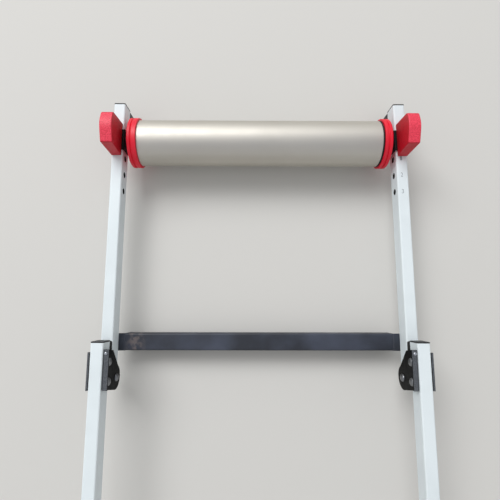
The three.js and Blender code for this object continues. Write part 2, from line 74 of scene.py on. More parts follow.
# The spacing of the axle holes, and the radii of the holes for axles, hinge bolts and screws.
HOLE_PITCH = 0.030
AXLE_BORE = 0.0053
BOLT_BORE = 0.0043
SCREW_BORE = 0.0033
# Edges that turn by more than the first angle are rounded, by more than the second creased.
ROUNDED_ANGLE = math.radians(40)
CREASED_ANGLE = math.radians(50)
# Points of an outline, and points of a mesh, that lie closer than this are one.
OUTLINE_MERGE = 1e-7
MESH_MERGE = 1e-6


class Axis(Enum):
    """The axis that an outline is carried along, as its place in a point."""

    X = 0
    Y = 1
    Z = 2


class Side(Enum):
    """The side of the frame, as the sign of its X."""

    RIGHT = 1
    LEFT = -1

    def node(self, name: str) -> str:
        """Gives the frame's name of a piece on this side."""
        return f"{name}_{self.name.lower()}"

    def mirrored(self, outline: Array) -> Array:
        """Puts an outline that is drawn for the right side on this side."""
        return outline * (self.value, 1)


class Facing(Enum):
    """The end of a rail that a plug closes, as the sign of its Y."""

    FRONT = 1
    REAR = -1


class Carve(Enum):
    """How a second solid changes the first, under the modifier's own names."""

    CUT = "DIFFERENCE"
    JOIN = "UNION"
    COMMON = "INTERSECT"


class Facets(IntEnum):
    """How many sides a round piece has."""

    SCREW = 32
    BOLT = 40
    AXLE = 48
    BEARING = 64
    CAP = 128
    SHELL = 160


@dataclass(frozen=True)
class Extent:
    """The lowest and the highest corner of a node of the frame.

    Attributes:
        low: the lowest corner.
        high: the highest corner.
    """

    low: Array
    high: Array

    @classmethod
    def of(cls, node: str) -> "Extent":
        """Reads a node's corners from the frame."""
        low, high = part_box(node)
        return cls(np.array(low), np.array(high))

    @property
    def centre(self) -> Array:
        """The middle of the box."""
        return (self.low + self.high) / 2

    @property
    def size(self) -> Array:
        """The box's span along each axis."""
        return self.high - self.low

    @property
    def outboard(self) -> Pair:
        """How near the frame's middle plane the box comes, and how far out it reaches."""
        near, far = sorted(np.abs([self.low[0], self.high[0]]))
        return near, far

    @property
    def foot(self) -> Array:
        """The middle of the box's underside."""
        return np.array([self.centre[0], self.centre[1], self.low[2]])

    def span(self, axis: Axis, over: float = 0.0) -> Pair:
        """Where the box starts and ends along an axis, with something over at each end."""
        return self.low[axis.value] - over, self.high[axis.value] + over

    def middle(self, axis: Axis) -> Array:
        """The middle of the box on the two other axes."""
        return np.delete(self.centre, axis.value)

    def section(self, axis: Axis) -> Array:
        """The box's span along the two other axes."""
        return np.delete(self.size, axis.value)


def unit(vectors: Array) -> Array:
    """Scales each vector to a length of one."""
    return vectors / np.linalg.norm(vectors, axis=-1, keepdims=True)


def full_turn(facets: int) -> Array:
    """Gives the angles of as many points, evenly round a circle."""
    return np.linspace(0, 2 * math.pi, facets, endpoint=False)


def arc(centre: Array, radius: float, angles: Array) -> Array:
    """Draws points round a centre: the radius times each angle's cosine and sine."""
    return centre + radius * np.stack([np.cos(angles), np.sin(angles)], axis=1)


def rounded(corners: Array | list[Triple], steps: int = 6) -> Array:
    """Rounds the corners of a closed outline.

    Formula: a corner of radius r becomes the arc that touches both of its sides. The arc's
    centre is on the bisector, r over the sine of the half angle away, and its points are
    weighted sums of the two touching points, with sines of the shares of the turn as weights.

    Args:
        corners: each corner's two coordinates and its radius.
        steps: how many chords an arc has.

    Returns:
        The outline's points in order.
    """
    table = np.array(corners, float)
    here, radius = table[:, :2], table[:, 2:]
    back = unit(np.roll(here, 1, axis=0) - here)
    ahead = unit(np.roll(here, -1, axis=0) - here)
    half = np.arccos(np.clip((back * ahead).sum(1, keepdims=True), -1, 1)) / 2
    reach = radius / np.tan(half)
    middle = (here + unit(back + ahead) * radius / np.sin(half))[:, None]
    start = (here + back * reach)[:, None] - middle
    end = (here + ahead * reach)[:, None] - middle
    turn = (math.pi - 2 * half)[:, None]
    share = np.linspace(0, 1, steps + 1)[None, :, None]
    arcs = middle + (np.sin((1 - share) * turn) * start + np.sin(share * turn) * end) / np.sin(turn)
    points = arcs.reshape(-1, 2)
    apart = np.linalg.norm(points - np.roll(points, 1, axis=0), axis=1)
    return points[apart > OUTLINE_MERGE]


def rectangle(size: Array, centre: Array, radius: float) -> Array:
    """Draws a rectangle with round corners.

    Args:
        size: its width and height.
        centre: where its middle is.
        radius: the corners' radius.

    Returns:
        The outline's points.
    """
    across, up = size[0] / 2, size[1] / 2
    return rounded([(-across, -up, radius), (across, -up, radius),
                    (across, up, radius), (-across, up, radius)]) + centre


def inset(outline: Array, distance: float) -> Array:
    """Draws an outline in by a distance.

    Formula: a point moves along the sum of its two sides' inward normals, times twice the
    distance over that sum's square, which keeps both sides at the distance.

    Args:
        outline: the closed outline.
        distance: how far in, or out where negative.

    Returns:
        The new outline.
    """
    following = np.roll(outline, -1, axis=0)
    area = (outline[:, 0] * following[:, 1] - outline[:, 1] * following[:, 0]).sum()
    side = unit(following - outline)
    inward = np.stack([-side[:, 1], side[:, 0]], axis=1) * np.sign(area)
    total = inward + np.roll(inward, 1, axis=0)
    return outline + 2 * distance * total / (total ** 2).sum(1, keepdims=True)


def stood(outline: Array, depth: float, axis: Axis) -> Array:
    """Stands a flat outline across an axis, its coordinates on the other two in order."""
    return np.insert(outline, axis.value, depth, axis=1)


def linked(name: str, data: bpy.types.ID) -> Piece:
    """Puts something into the scene as an object.

    Args:
        name: the object's name.
        data: its mesh, text, lamp or camera.

    Returns:
        The object.
    """
    made = bpy.data.objects.new(name, data)
    bpy.context.scene.collection.objects.link(made)
    return made


def surface(name: str, points: Array, capped: bool = False) -> Piece:
    """Lays faces over a grid of points whose rows are closed loops.

    Formula: the face at row i and column j joins the points (i, j), (i, j + 1),
    (i + 1, j + 1) and (i + 1, j), with the last column joined to the first.

    Args:
        name: the piece's name.
        points: the grid, as rows by columns by three.
        capped: whether a face each closes the first and the last row, which else are joined.

    Returns:
        The piece.
    """
    rows, columns = points.shape[:2]
    i = np.arange(rows - 1 if capped else rows)[:, None]
    j = np.arange(columns)[None]
    after, beside = (i + 1) % rows, (j + 1) % columns
    quads = np.stack([i * columns + j, i * columns + beside,
                      after * columns + beside, after * columns + j], axis=-1)
    faces = quads.reshape(-1, 4).tolist()
    if capped:
        loop = np.arange(columns)
        faces += [loop[::-1].tolist(), (loop + (rows - 1) * columns).tolist()]
    mesh = bpy.data.meshes.new(name)
    mesh.from_pydata(points.reshape(-1, 3), [], faces)
    close_up(mesh)
    return linked(name, mesh)


def close_up(mesh: bpy.types.Mesh) -> None:
    """Merges doubles, drops edges with no face and turns the faces outwards.

    Args:
        mesh: the mesh.
    """
    work = bmesh.new()
    work.from_mesh(mesh)
    bmesh.ops.remove_doubles(work, verts=work.verts, dist=MESH_MERGE)
    loose = [edge for edge in work.edges if not edge.link_faces]
    bmesh.ops.delete(work, geom=loose, context="EDGES")
    bmesh.ops.recalc_face_normals(work, faces=work.faces)
    work.to_mesh(mesh)
    work.free()


def pressed(name: str, outline: Array, span: Pair, axis: Axis, rim: float = 0.0,
            steps: int = 3) -> Piece:
    """Carries an outline along an axis and rounds the rims of its two ends.

    Formula: at the angle a of a rim's quarter turn the outline is drawn in by rim times one
    minus sine a, and lies rim times one minus cosine a from the end.

    Args:
        name: the piece's name.
        outline: the closed outline.
        span: the piece's two ends along the axis, in either order.
        axis: the axis.
        rim: the rims' radius.
        steps: how many chords a rim has.

    Returns:
        The piece.
    """
    angles = np.linspace(0, math.pi / 2, steps + 1) if rim else np.array([math.pi / 2])
    draws, rises = rim * (1 - np.sin(angles)), rim * (1 - np.cos(angles))
    low, high = sorted(span)
    loops = [stood(inset(outline, draw), low + rise, axis) for draw, rise in zip(draws, rises)]
    loops += [stood(inset(outline, draw), high - rise, axis)
              for draw, rise in zip(draws[::-1], rises[::-1])]
    return surface(name, np.stack(loops), capped=True)


def box_tube(name: str, size: Array, centre: Array, wall: float, radii: Pair, span: Pair,
             axis: Axis) -> Piece:
    """Carries a wall between two rectangles along an axis.

    Formula: the rows are the outer outline at the start and the end, then the inner one at
    the end and the start, joined round.

    Args:
        name: the piece's name.
        size: the outer width and height.
        centre: where the tube's middle is.
        wall: the wall's thickness.
        radii: the radius of the outer and of the inner corners.
        span: the piece's two ends along the axis, in either order.
        axis: the axis.

    Returns:
        The piece.
    """
    low, high = sorted(span)
    outer = rectangle(size, centre, radii[0])
    inner = rectangle(size - 2 * wall, centre, radii[1])
    return surface(name, np.stack([stood(outer, low, axis), stood(outer, high, axis),
                                   stood(inner, high, axis), stood(inner, low, axis)]))


def turned(name: str, profile: Array, line: Array, facets: int) -> Piece:
    """Turns a closed profile about a line along X.

    Formula: a profile point (x, r) goes to x, and to r times the cosine and r times the sine
    of each angle from the line.

    Args:
        name: the piece's name.
        profile: the profile's points, each a place along X and a radius.
        line: the line's Y and Z.
        facets: how many sides the piece has.

    Returns:
        The piece.
    """
    angle = full_turn(facets)[:, None]
    along, radius = profile.T
    points = np.stack(np.broadcast_arrays(
        along[None], radius * np.cos(angle), radius * np.sin(angle)), axis=-1)
    return surface(name, points + (0, *line))


def bore(radius: float, span: Pair, axis: Axis, centre: Array,
         facets: int = Facets.BOLT) -> Piece:
    """Makes a round cutter along an axis, its centre given on the two other axes."""
    return pressed("cutter", arc(centre, radius, full_turn(facets)), span, axis)


def block(low: Triple, high: Triple) -> Piece:
    """Makes a square cutter between two corners."""
    outline = np.array([(low[0], low[1]), (high[0], low[1]), (high[0], high[1]), (low[0], high[1])])
    return pressed("cutter", outline, (low[2], high[2]), Axis.Z)


def reshaped(piece: Piece, change: Callable[[Array], Array]) -> Piece:
    """Moves all of a piece's points by a formula.

    Args:
        piece: the piece.
        change: gives the new points for the old ones, as rows of three.

    Returns:
        The piece.
    """
    points = np.zeros((len(piece.data.vertices), 3), np.float32)
    piece.data.vertices.foreach_get("co", points.ravel())
    piece.data.vertices.foreach_set("co", change(points).astype(np.float32).ravel())
    close_up(piece.data)
    return piece


def upright(name: str, profile: Array, foot: Array) -> Piece:
    """Turns a closed profile about X and stands it along Z, with its start at a foot."""
    piece = turned(name, profile, np.zeros(2), Facets.SCREW)
    return reshaped(piece, lambda points: points[:, [2, 1, 0]] + foot)


def shown_mesh(piece: Piece) -> bpy.types.Mesh:
    """Gives a new mesh of what a piece with its modifiers, or a text, shows."""
    graph = bpy.context.evaluated_depsgraph_get()
    return bpy.data.meshes.new_from_object(piece.evaluated_get(graph), depsgraph=graph)


def applied(piece: Piece) -> None:
    """Turns a piece's modifiers into its mesh.

    Args:
        piece: the piece.
    """
    mesh, old = shown_mesh(piece), piece.data
    piece.modifiers.clear()
    piece.data = mesh
    bpy.data.meshes.remove(old)


def carved(piece: Piece, how: Carve, tools: list[Piece]) -> Piece:
    """Cuts, joins or trims a piece with other solids, which are used up.

    Args:
        piece: the piece.
        how: what the solids do to it.
        tools: the solids.

    Returns:
        The piece.
    """
    for tool in tools:
        change = piece.modifiers.new(how.name, "BOOLEAN")
        change.operation = how.value
        change.solver = "EXACT"
        change.object = tool
    applied(piece)
    for tool in tools:
        mesh = tool.data
        bpy.data.objects.remove(tool)
        bpy.data.meshes.remove(mesh)
    return piece


def eased(piece: Piece, width: float) -> None:
    """Rounds a piece's sharp edges and evens its shading.

    Args:
        piece: the piece.
        width: how far the rounding reaches from an edge, or zero for none.
    """
    if width:
        edge = piece.modifiers.new("edge", "BEVEL")
        edge.width = width
        edge.segments = 2
        edge.limit_method = "ANGLE"
        edge.angle_limit = ROUNDED_ANGLE
        edge.miter_outer = "MITER_ARC"
        applied(piece)
    mesh = piece.data
    mesh.polygons.foreach_set("use_smooth", np.ones(len(mesh.polygons), bool))
    mesh.set_sharp_from_angle(angle=CREASED_ANGLE)
    piece.modifiers.new("shading", "WEIGHTED_NORMAL").keep_sharp = True
    applied(piece)


def linear(colour: str) -> tuple[float, float, float, float]:
    """Turns an sRGB colour to the linear values that a shader takes.

    Args:
        colour: the colour in hex.

    Returns:
        Its linear red, green and blue, and an alpha of one.
    """
    srgb = np.array([int(colour[i:i + 2], 16) for i in (1, 3, 5)]) / 255
    values = np.where(srgb <= 0.04045, srgb / 12.92, ((srgb + 0.055) / 1.055) ** 2.4)
    return (*values.tolist(), 1.0)


def cleared(owner: bpy.types.Material | bpy.types.World) -> Tree:
    """Empties a node tree.

    Args:
        owner: the material or the world that it belongs to.

    Returns:
        The tree.
    """
    owner.use_nodes = True
    owner.node_tree.nodes.clear()
    return owner.node_tree


def add_node(tree: Tree, kind: str, sockets: Sequence[Any] = (),
             settings: dict[Any, Any] | None = None) -> bpy.types.Node:
    """Adds a node to a tree with its settings and links.

    Args:
        tree: the tree.
        kind: the node's type.
        sockets: for the node's first sockets in order, a value or the socket that feeds it.
        settings: the same for sockets by name or number, and values for the node's options.

    Returns:
        The node.
    """
    node = tree.nodes.new(kind)
    for key, value in [*(settings or {}).items(), *enumerate(sockets)]:
        if isinstance(value, bpy.types.NodeSocket):
            tree.links.new(value, node.inputs[key])
        elif isinstance(key, str) and hasattr(node, key):
            setattr(node, key, value)
        else:
            node.inputs[key].default_value = value
    return node


@dataclass(frozen=True)
class Patches:
    """Patches, streaks or grain of a real size, drawn by an even noise.

    Attributes:
        size_mm: the features' size.
        window: the noise's values where a patch starts and where it is full.
        detail: how many finer layers the noise has.
        pull: how much finer the features are along each axis.
    """

    size_mm: float
    window: Pair = (0.0, 1.0)
    detail: float = 3.0
    pull: Triple = (1.0, 1.0, 1.0)

    def noise(self, tree: Tree, place: Socket) -> Socket:
        """Adds the bare noise.

        Args:
            tree: the tree.
            place: the coordinates in metres.

        Returns:
            The noise's value.
        """
        pulled = add_node(tree, "ShaderNodeMapping", [place], {"Scale": self.pull})
        return add_node(tree, "ShaderNodeTexNoise", [pulled.outputs[0]], {
            "Scale": MM_PER_METRE / self.size_mm, "Detail": self.detail}).outputs["Fac"]

    def drawn(self, tree: Tree, place: Socket, least: float, most: float) -> Socket:
        """Adds the patches.

        Args:
            tree: the tree.
            place: the coordinates in metres.
            least: the value between patches.
            most: the value inside patches.

        Returns:
            The value.
        """
        return add_node(tree, "ShaderNodeMapRange", [
            self.noise(tree, place), *self.window, least, most]).outputs[0]


@dataclass(frozen=True)
class Finish:
    """A finish: its colour, what soils it, its grain and what shows where edges wear.

    Attributes:
        title: the material's name.
        colour: the clean colour.
        shade: the colour that smudges turn it to.
        smudge_share: how far smudges go.
        smudge_mm: the smudges' size.
        roughness: the mean roughness.
        roughness_spread: how far soil takes it either way, and the grain half as far.
        grain_mm: the grain's size.
        bump_mm: the grain's depth.
        grain_pull: how much finer the grain is along each axis.
        metallic: one for bare metal.
        ior: the index of refraction, of what isn't metal.
        gloss_level: how much of that index's gloss shows; a half is all of it.
        dust: the colour of painted light on faces that look up, if they have any.
        dust_share: how far it covers them at most, between the grain's hollows.
        bared: the colour under worn edges, if they wear.
        bared_metallic: how metallic a worn edge is.
        edge_mm: how wide edges wear.
    """

    # Where each pattern starts and is full: values of its noise, or the cosine of an angle, to
    # straight up for the painted top light and between the true and the rounded normal for edges.
    # The specks' shares are how much painted top light lies in the grain's hollows and on its tops.
    SMUDGED = (0.42, 0.7)
    SOILED = (0.35, 0.65)
    GRAINED = (0.3, 0.7)
    DUSTY = (0.5, 0.95)
    SPECKED = (0.35, 0.65)
    SPECK_SHARES = (0.3, 1.0)
    EDGES = (0.97, 0.8)
    WORN = Patches(7.0, (0.48, 0.62), detail=6)

    title: str
    colour: str
    shade: str
    smudge_share: float
    smudge_mm: float
    roughness: float
    roughness_spread: float
    grain_mm: float
    bump_mm: float
    grain_pull: Triple = (1.0, 1.0, 1.0)
    metallic: float = 0.0
    ior: float = 1.5
    gloss_level: float = 0.5
    dust: str = ""
    dust_share: float = 0.0
    bared: str = ""
    bared_metallic: float = 0.0
    edge_mm: float = 0.6

    def marks(self, tree: Tree, place: Socket) -> list[tuple[Socket, str]]:
        """Gives the finish's own marks, each its share and colour; a plain finish has none."""
        return []

    def dusted(self, tree: Tree, normal: Socket, grain: Socket) -> Socket:
        """Finds the painted top light: faces that look up painted lighter, in specks of the grain.

        Args:
            tree: the tree.
            normal: the surface's normal.
            grain: the grain's noise.

        Returns:
            The painted top light's share.
        """
        up = add_node(tree, "ShaderNodeSeparateXYZ", [normal]).outputs[2]
        lying = add_node(tree, "ShaderNodeMapRange", [up, *self.DUSTY, 0, self.dust_share])
        specks = add_node(tree, "ShaderNodeMapRange", [grain, *self.SPECKED, *self.SPECK_SHARES])
        return add_node(tree, "ShaderNodeMath", [lying.outputs[0], specks.outputs[0]],
                        {"operation": "MULTIPLY"}).outputs[0]

    def wear(self, tree: Tree, place: Socket) -> Socket:
        """Finds worn edges: where a rounded normal leaves the true one, broken up by noise.

        Args:
            tree: the tree.
            place: the coordinates in metres.

        Returns:
            The wear's share.
        """
        soft = add_node(tree, "ShaderNodeBevel", [self.edge_mm / MM_PER_METRE], {"samples": 4})
        true = add_node(tree, "ShaderNodeNewGeometry")
        match = add_node(tree, "ShaderNodeVectorMath", [soft.outputs[0], true.outputs["Normal"]],
                         {"operation": "DOT_PRODUCT"})
        edge = add_node(tree, "ShaderNodeMapRange", [match.outputs["Value"], *self.EDGES, 0, 1])
        patches = self.WORN.drawn(tree, place, 0, 1)
        return add_node(tree, "ShaderNodeMath", [edge.outputs[0], patches],
                        {"operation": "MULTIPLY"}).outputs[0]

    def roughened(self, tree: Tree, place: Socket, grain: Socket) -> Socket:
        """Finds the roughness: its mean, taken either way by the grain and by fine soil.

        Formula: the grain takes it half the spread either way, and soil a third of the
        smudges' size takes it the whole spread.

        Args:
            tree: the tree.
            place: the coordinates in metres.
            grain: the grain's noise.

        Returns:
            The roughness.
        """
        spread = self.roughness_spread
        mean = add_node(tree, "ShaderNodeMapRange", [
            grain, *self.GRAINED, self.roughness - spread / 2, self.roughness + spread / 2])
        soil = Patches(self.smudge_mm / 3, self.SOILED, detail=4).drawn(
            tree, place, -spread, spread)
        return add_node(tree, "ShaderNodeMath", [mean.outputs[0], soil],
                        {"operation": "ADD"}).outputs[0]

    def material(self) -> bpy.types.Material:
        """Builds the finish's material.

        Returns:
            The material: its colours laid over each other, its roughness and its bump.
        """
        made = bpy.data.materials.new(self.title)
        tree = cleared(made)
        coordinates = add_node(tree, "ShaderNodeTexCoord")
        place = coordinates.outputs["Object"]
        grain = Patches(self.grain_mm, pull=self.grain_pull).noise(tree, place)
        smudges = Patches(self.smudge_mm, self.SMUDGED, detail=6).drawn(
            tree, place, 0, self.smudge_share)
        layers = [(smudges, self.shade), *self.marks(tree, place)]
        # Painted light: faces that look up get a lighter colour, as if lit from above.
        if self.dust:
            layers.append((self.dusted(tree, coordinates.outputs["Normal"], grain), self.dust))
        metallic = self.metallic
        if self.bared:
            worn = self.wear(tree, place)
            layers.append((worn, self.bared))
            if self.bared_metallic:
                metallic = add_node(tree, "ShaderNodeMapRange", [
                    worn, 0, 1, self.metallic, self.bared_metallic]).outputs[0]
        colour = linear(self.colour)
        for share, over in layers:
            colour = add_node(tree, "ShaderNodeMix", [share], {
                "data_type": "RGBA", 6: colour, 7: linear(over)}).outputs[2]
        bump = add_node(tree, "ShaderNodeBump", (), {
            "Distance": self.bump_mm / MM_PER_METRE, "Strength": 1.0, "Height": grain})
        shader = add_node(tree, "ShaderNodeBsdfPrincipled", [colour, metallic], {
            "Roughness": self.roughened(tree, place, grain), "IOR": self.ior,
            "Specular IOR Level": self.gloss_level, "Normal": bump.outputs[0]})
        add_node(tree, "ShaderNodeOutputMaterial", [shader.outputs[0]])
        return made


@dataclass(frozen=True)
class ScuffedPaint(Finish):
    """Black paint with soil trodden into one end and fine scratches along the bar.

    Attributes:
        soil: the soil's colour.
        soil_middle: the X where the soil is thickest.
        soil_reach: how far on either side of that it starts to thin and ends.
        soil_share: how far the soil covers the paint.
        scratch: the scratches' colour.
        scratch_share: how far the scratches cover it.
    """

    # The soil's patches, the scratches' lines, and the patches in which those lines show.
    SOIL = Patches(9.0, (0.44, 0.6), detail=6)
    LINES = Patches(1.4, (0.66, 0.74), detail=2, pull=(0.03, 1, 1))
    SCRATCHED = Patches(30.0, (0.5, 0.68))

    soil: str = "#7A6D68"
    soil_middle: float = -0.213
    soil_reach: Pair = (0.005, 0.019)
    soil_share: float = 0.5
    scratch: str = "#7B7E84"
    scratch_share: float = 0.25

    def marks(self, tree: Tree, place: Socket) -> list[tuple[Socket, str]]:
        """Gives the soil and the scratches.

        Args:
            tree: the tree.
            place: the coordinates in metres.

        Returns:
            For each of the two, its share and its colour.
        """
        across = add_node(tree, "ShaderNodeSeparateXYZ", [place]).outputs[0]
        aside = add_node(tree, "ShaderNodeMath", [across, self.soil_middle],
                         {"operation": "SUBTRACT"})
        away = add_node(tree, "ShaderNodeMath", [aside.outputs[0]], {"operation": "ABSOLUTE"})
        near = add_node(tree, "ShaderNodeMapRange", [away.outputs[0], *self.soil_reach, 1, 0])
        soil = [near.outputs[0], self.SOIL.drawn(tree, place, 0, self.soil_share)]
        scratches = [self.LINES.drawn(tree, place, 0, 1),
                     self.SCRATCHED.drawn(tree, place, 0, self.scratch_share)]
        return [(add_node(tree, "ShaderNodeMath", parts, {"operation": "MULTIPLY"}).outputs[0], over)
                for parts, over in ((soil, self.soil), (scratches, self.scratch))]


class Finishes:
    """The object's finishes, each made once."""

    # Powder coat on steel: baked from powder, so it has a faint orange peel and a satin gloss.
    POWDER_WHITE = Finish(
        "white_powder_coat", "#DFE8EC", "#D1DADE", 0.4, 55.0, 0.5, 0.05, 1.8, 0.006,
        ior=1.45, bared="#B4B8BA", edge_mm=0.5)
    # Inside of the rails' tube: bare steel with its dark rolling scale, dull and uneven.
    MILL_SCALE = Finish(
        "mill_scale_steel", "#2E2F31", "#3D3935", 0.6, 12.0, 0.65, 0.08, 0.8, 0.01)
    # Printed numbers beside the axle holes: a thin, matt grey ink, rubbed pale.
    PRINT_GREY = Finish(
        "grey_print", "#8C949A", "#A9AFB4", 0.6, 3.0, 0.6, 0.05, 0.5, 0.002)
    # Sprayed black paint on the stands' box bar: flat slate gloss, soiled by shoes and grit.
    SCUFFED_BLACK = ScuffedPaint(
        "scuffed_black_paint", "#20242D", "#3E4453", 0.9, 80.0, 0.5, 0.05, 1.2, 0.004,
        bared="#7C7E80", bared_metallic=0.8)
    # Black powder coat under the guards: matt and nearly black, with a fine peel.
    SADDLE_BLACK = Finish(
        "sheltered_black_powder_coat", "#0A0B0C", "#131415", 0.4, 24.0, 0.55, 0.05, 0.9, 0.006,
        ior=1.45, gloss_level=0.25)
    # The same coat in the open: nearly black on its sides; the faces that look up are painted slate
    # grey, which is painted light from above.
    HINGE_BLACK = Finish(
        "black_powder_coat", "#0B0C0D", "#151617", 0.4, 24.0, 0.55, 0.05, 0.9, 0.006,
        ior=1.45, gloss_level=0.12, dust="#676B71", dust_share=1.0)
    # Drawn aluminium tube, brushed round and anodised: silk streaks that run round the drum.
    # Real brush lines are finer than 0.1 mm and are drawn at 0.7 mm to show.
    ANODISED = Finish(
        "anodised_aluminium", "#C8C4BB", "#BFBBB2", 0.3, 90.0, 0.56, 0.02, 0.7, 0.0006,
        grain_pull=(1.0, 0.02, 0.02), metallic=1.0)
    # Injection-moulded ABS in red: satin, with a soft mould texture.
    RED_ABS = Finish(
        "red_abs", "#E4082E", "#D00628", 0.3, 40.0, 0.46, 0.04, 2.2, 0.004)
    # The same plastic on the guards, which never turn over, in a deeper red that is painted shade on
    # their sides, with painted light on the faces that look up: a chalky pink red in specks of the
    # grain.
    FADED_RED_ABS = Finish(
        "sun_faded_red_abs", "#C00722", "#A60519", 0.5, 9.0, 0.5, 0.06, 1.7, 0.016,
        dust="#F54660", dust_share=0.95)
    # Moulded black nylon for plugs and feet: matt, fine spark-eroded grain.
    BLACK_NYLON = Finish(
        "black_nylon", "#17181A", "#232426", 0.6, 12.0, 0.52, 0.08, 0.6, 0.015)
    # Rubber for pads, and for the joint ring, whose black is painted shade in the gap between tube
    # and cap: dull, dusty, soft grain.
    BLACK_RUBBER = Finish(
        "black_rubber", "#19191A", "#33322F", 0.6, 14.0, 0.8, 0.08, 0.8, 0.02)
    # Zinc plate on turned steel: pale blue grey, slightly uneven.
    ZINC = Finish(
        "zinc_plated_steel", "#B9BCC1", "#989B9F", 0.6, 6.0, 0.34, 0.08, 0.5, 0.004, metallic=1.0)
    # Blackened zinc on the hinge bolts: a duller, darker grey than bright zinc.
    DARK_ZINC = Finish(
        "blackened_zinc", "#85878A", "#6C6E71", 0.6, 6.0, 0.42, 0.08, 0.5, 0.004, metallic=1.0)
    # Ground bearing steel: fine and even.
    GROUND_STEEL = Finish(
        "ground_steel", "#A9ACB0", "#8E9195", 0.4, 8.0, 0.25, 0.05, 0.3, 0.002, metallic=1.0)

    def __init__(self) -> None:
        """Starts with no material built."""
        self.built: dict[str, bpy.types.Material] = {}

    def of(self, finish: Finish) -> bpy.types.Material:
        """Gives a finish's material, built at its first use.

        Args:
            finish: the finish.

        Returns:
            The material.
        """
        if finish.title not in self.built:
            self.built[finish.title] = finish.material()
        return self.built[finish.title]


class Workshop:
    """Eases and dresses finished pieces and puts them on their bodies.

    Attributes:
        finishes: the materials.
        bodies: for each node, its body.
        slots: for each node, its material slot.
    """

    def __init__(self) -> None:
        """Reads which body and slot each node belongs to."""
        record = frame["record"]
        self.finishes = Finishes()
        self.bodies = {node: body for body, nodes in record["behaviour"]["bodies"].items()
                       for node in nodes}
        self.slots = {row["node"]: row["material_slot"] for row in record["subparts"]}

    def hand_over(self, piece: Piece, node: str, finish: Finish, edge: float = 0.0,
                  replaces: bool = True) -> None:
        """Eases and dresses a piece and puts it on a node's body.

        Args:
            piece: the piece.
            node: the node that it stands for, or belongs to.
            finish: its finish.
            edge: how far its sharp edges are rounded.
            replaces: whether it stands for the node.
        """
        eased(piece, edge)
        piece.data.materials.clear()
        piece.data.materials.append(self.finishes.of(finish))
        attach(piece, self.bodies[node])
        if replaces:
            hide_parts(node)
        LOG.info("%s: %d faces, %s", piece.name, len(piece.data.polygons), finish.title)

    def second_finish(self, piece: Piece, faces: Array, finish: Finish) -> None:
        """Gives the faces that are marked true a second finish."""
        piece.data.materials.append(self.finishes.of(finish))
        piece.data.polygons.foreach_set("material_index", faces.astype(np.int32))


@dataclass(frozen=True)
class RailNumbers:
    """The printed numbers on the right front rail, one beside each free axle hole.

    Attributes:
        shop: where the pieces go.
        count: how many numbers there are, from 1 up.
        height: a number's height.
        width: a number's width.
        ink: how thick the ink is.
        lift: how far over the rail the ink's middle lies.
        aside: how far inboard of the rail's middle the numbers stand.
        behind: how far behind its hole a number's middle is.
    """

    shop: Workshop
    count: int = 3
    height: float = 0.0076
    width: float = 0.0036
    ink: float = 0.00004
    lift: float = 0.00006
    aside: float = 0.0014
    behind: float = 0.0025

    def number(self, digit: int) -> None:
        """Makes one number as a thin solid on the rail's top.

        Formula: the letter's points are scaled so that its box is as wide and as high as
        asked, and moved to the rail beside the hole, which is digit pitches behind the drum.

        Args:
            digit: the number.
        """
        curve = bpy.data.curves.new("digit", "FONT")
        curve.body = str(digit)
        curve.extrude = 1.0
        letter = linked("digit", curve)
        piece = linked(f"front_rail_right_number_{digit}", shown_mesh(letter))
        bpy.data.objects.remove(letter)
        bpy.data.curves.remove(curve)
        rail = Extent.of("front_rail_right")
        drum = Extent.of("front_axle").centre[1]
        place = np.array([rail.centre[0] - self.aside, drum - digit * HOLE_PITCH - self.behind,
                          rail.high[2] + self.lift])
        size = np.array([self.width, self.height, self.ink])

        def printed(points: Array) -> Array:
            """Scales the letter's box to the number's size, at its place."""
            low, high = points.min(axis=0), points.max(axis=0)
            return place + size * ((points - low) / (high - low) - 0.5)

        self.shop.hand_over(reshaped(piece, printed), "front_rail_right", Finishes.PRINT_GREY,
                            replaces=False)

    def build(self) -> None:
        """Makes the numbers."""
        for digit in range(1, self.count + 1):
            self.number(digit)


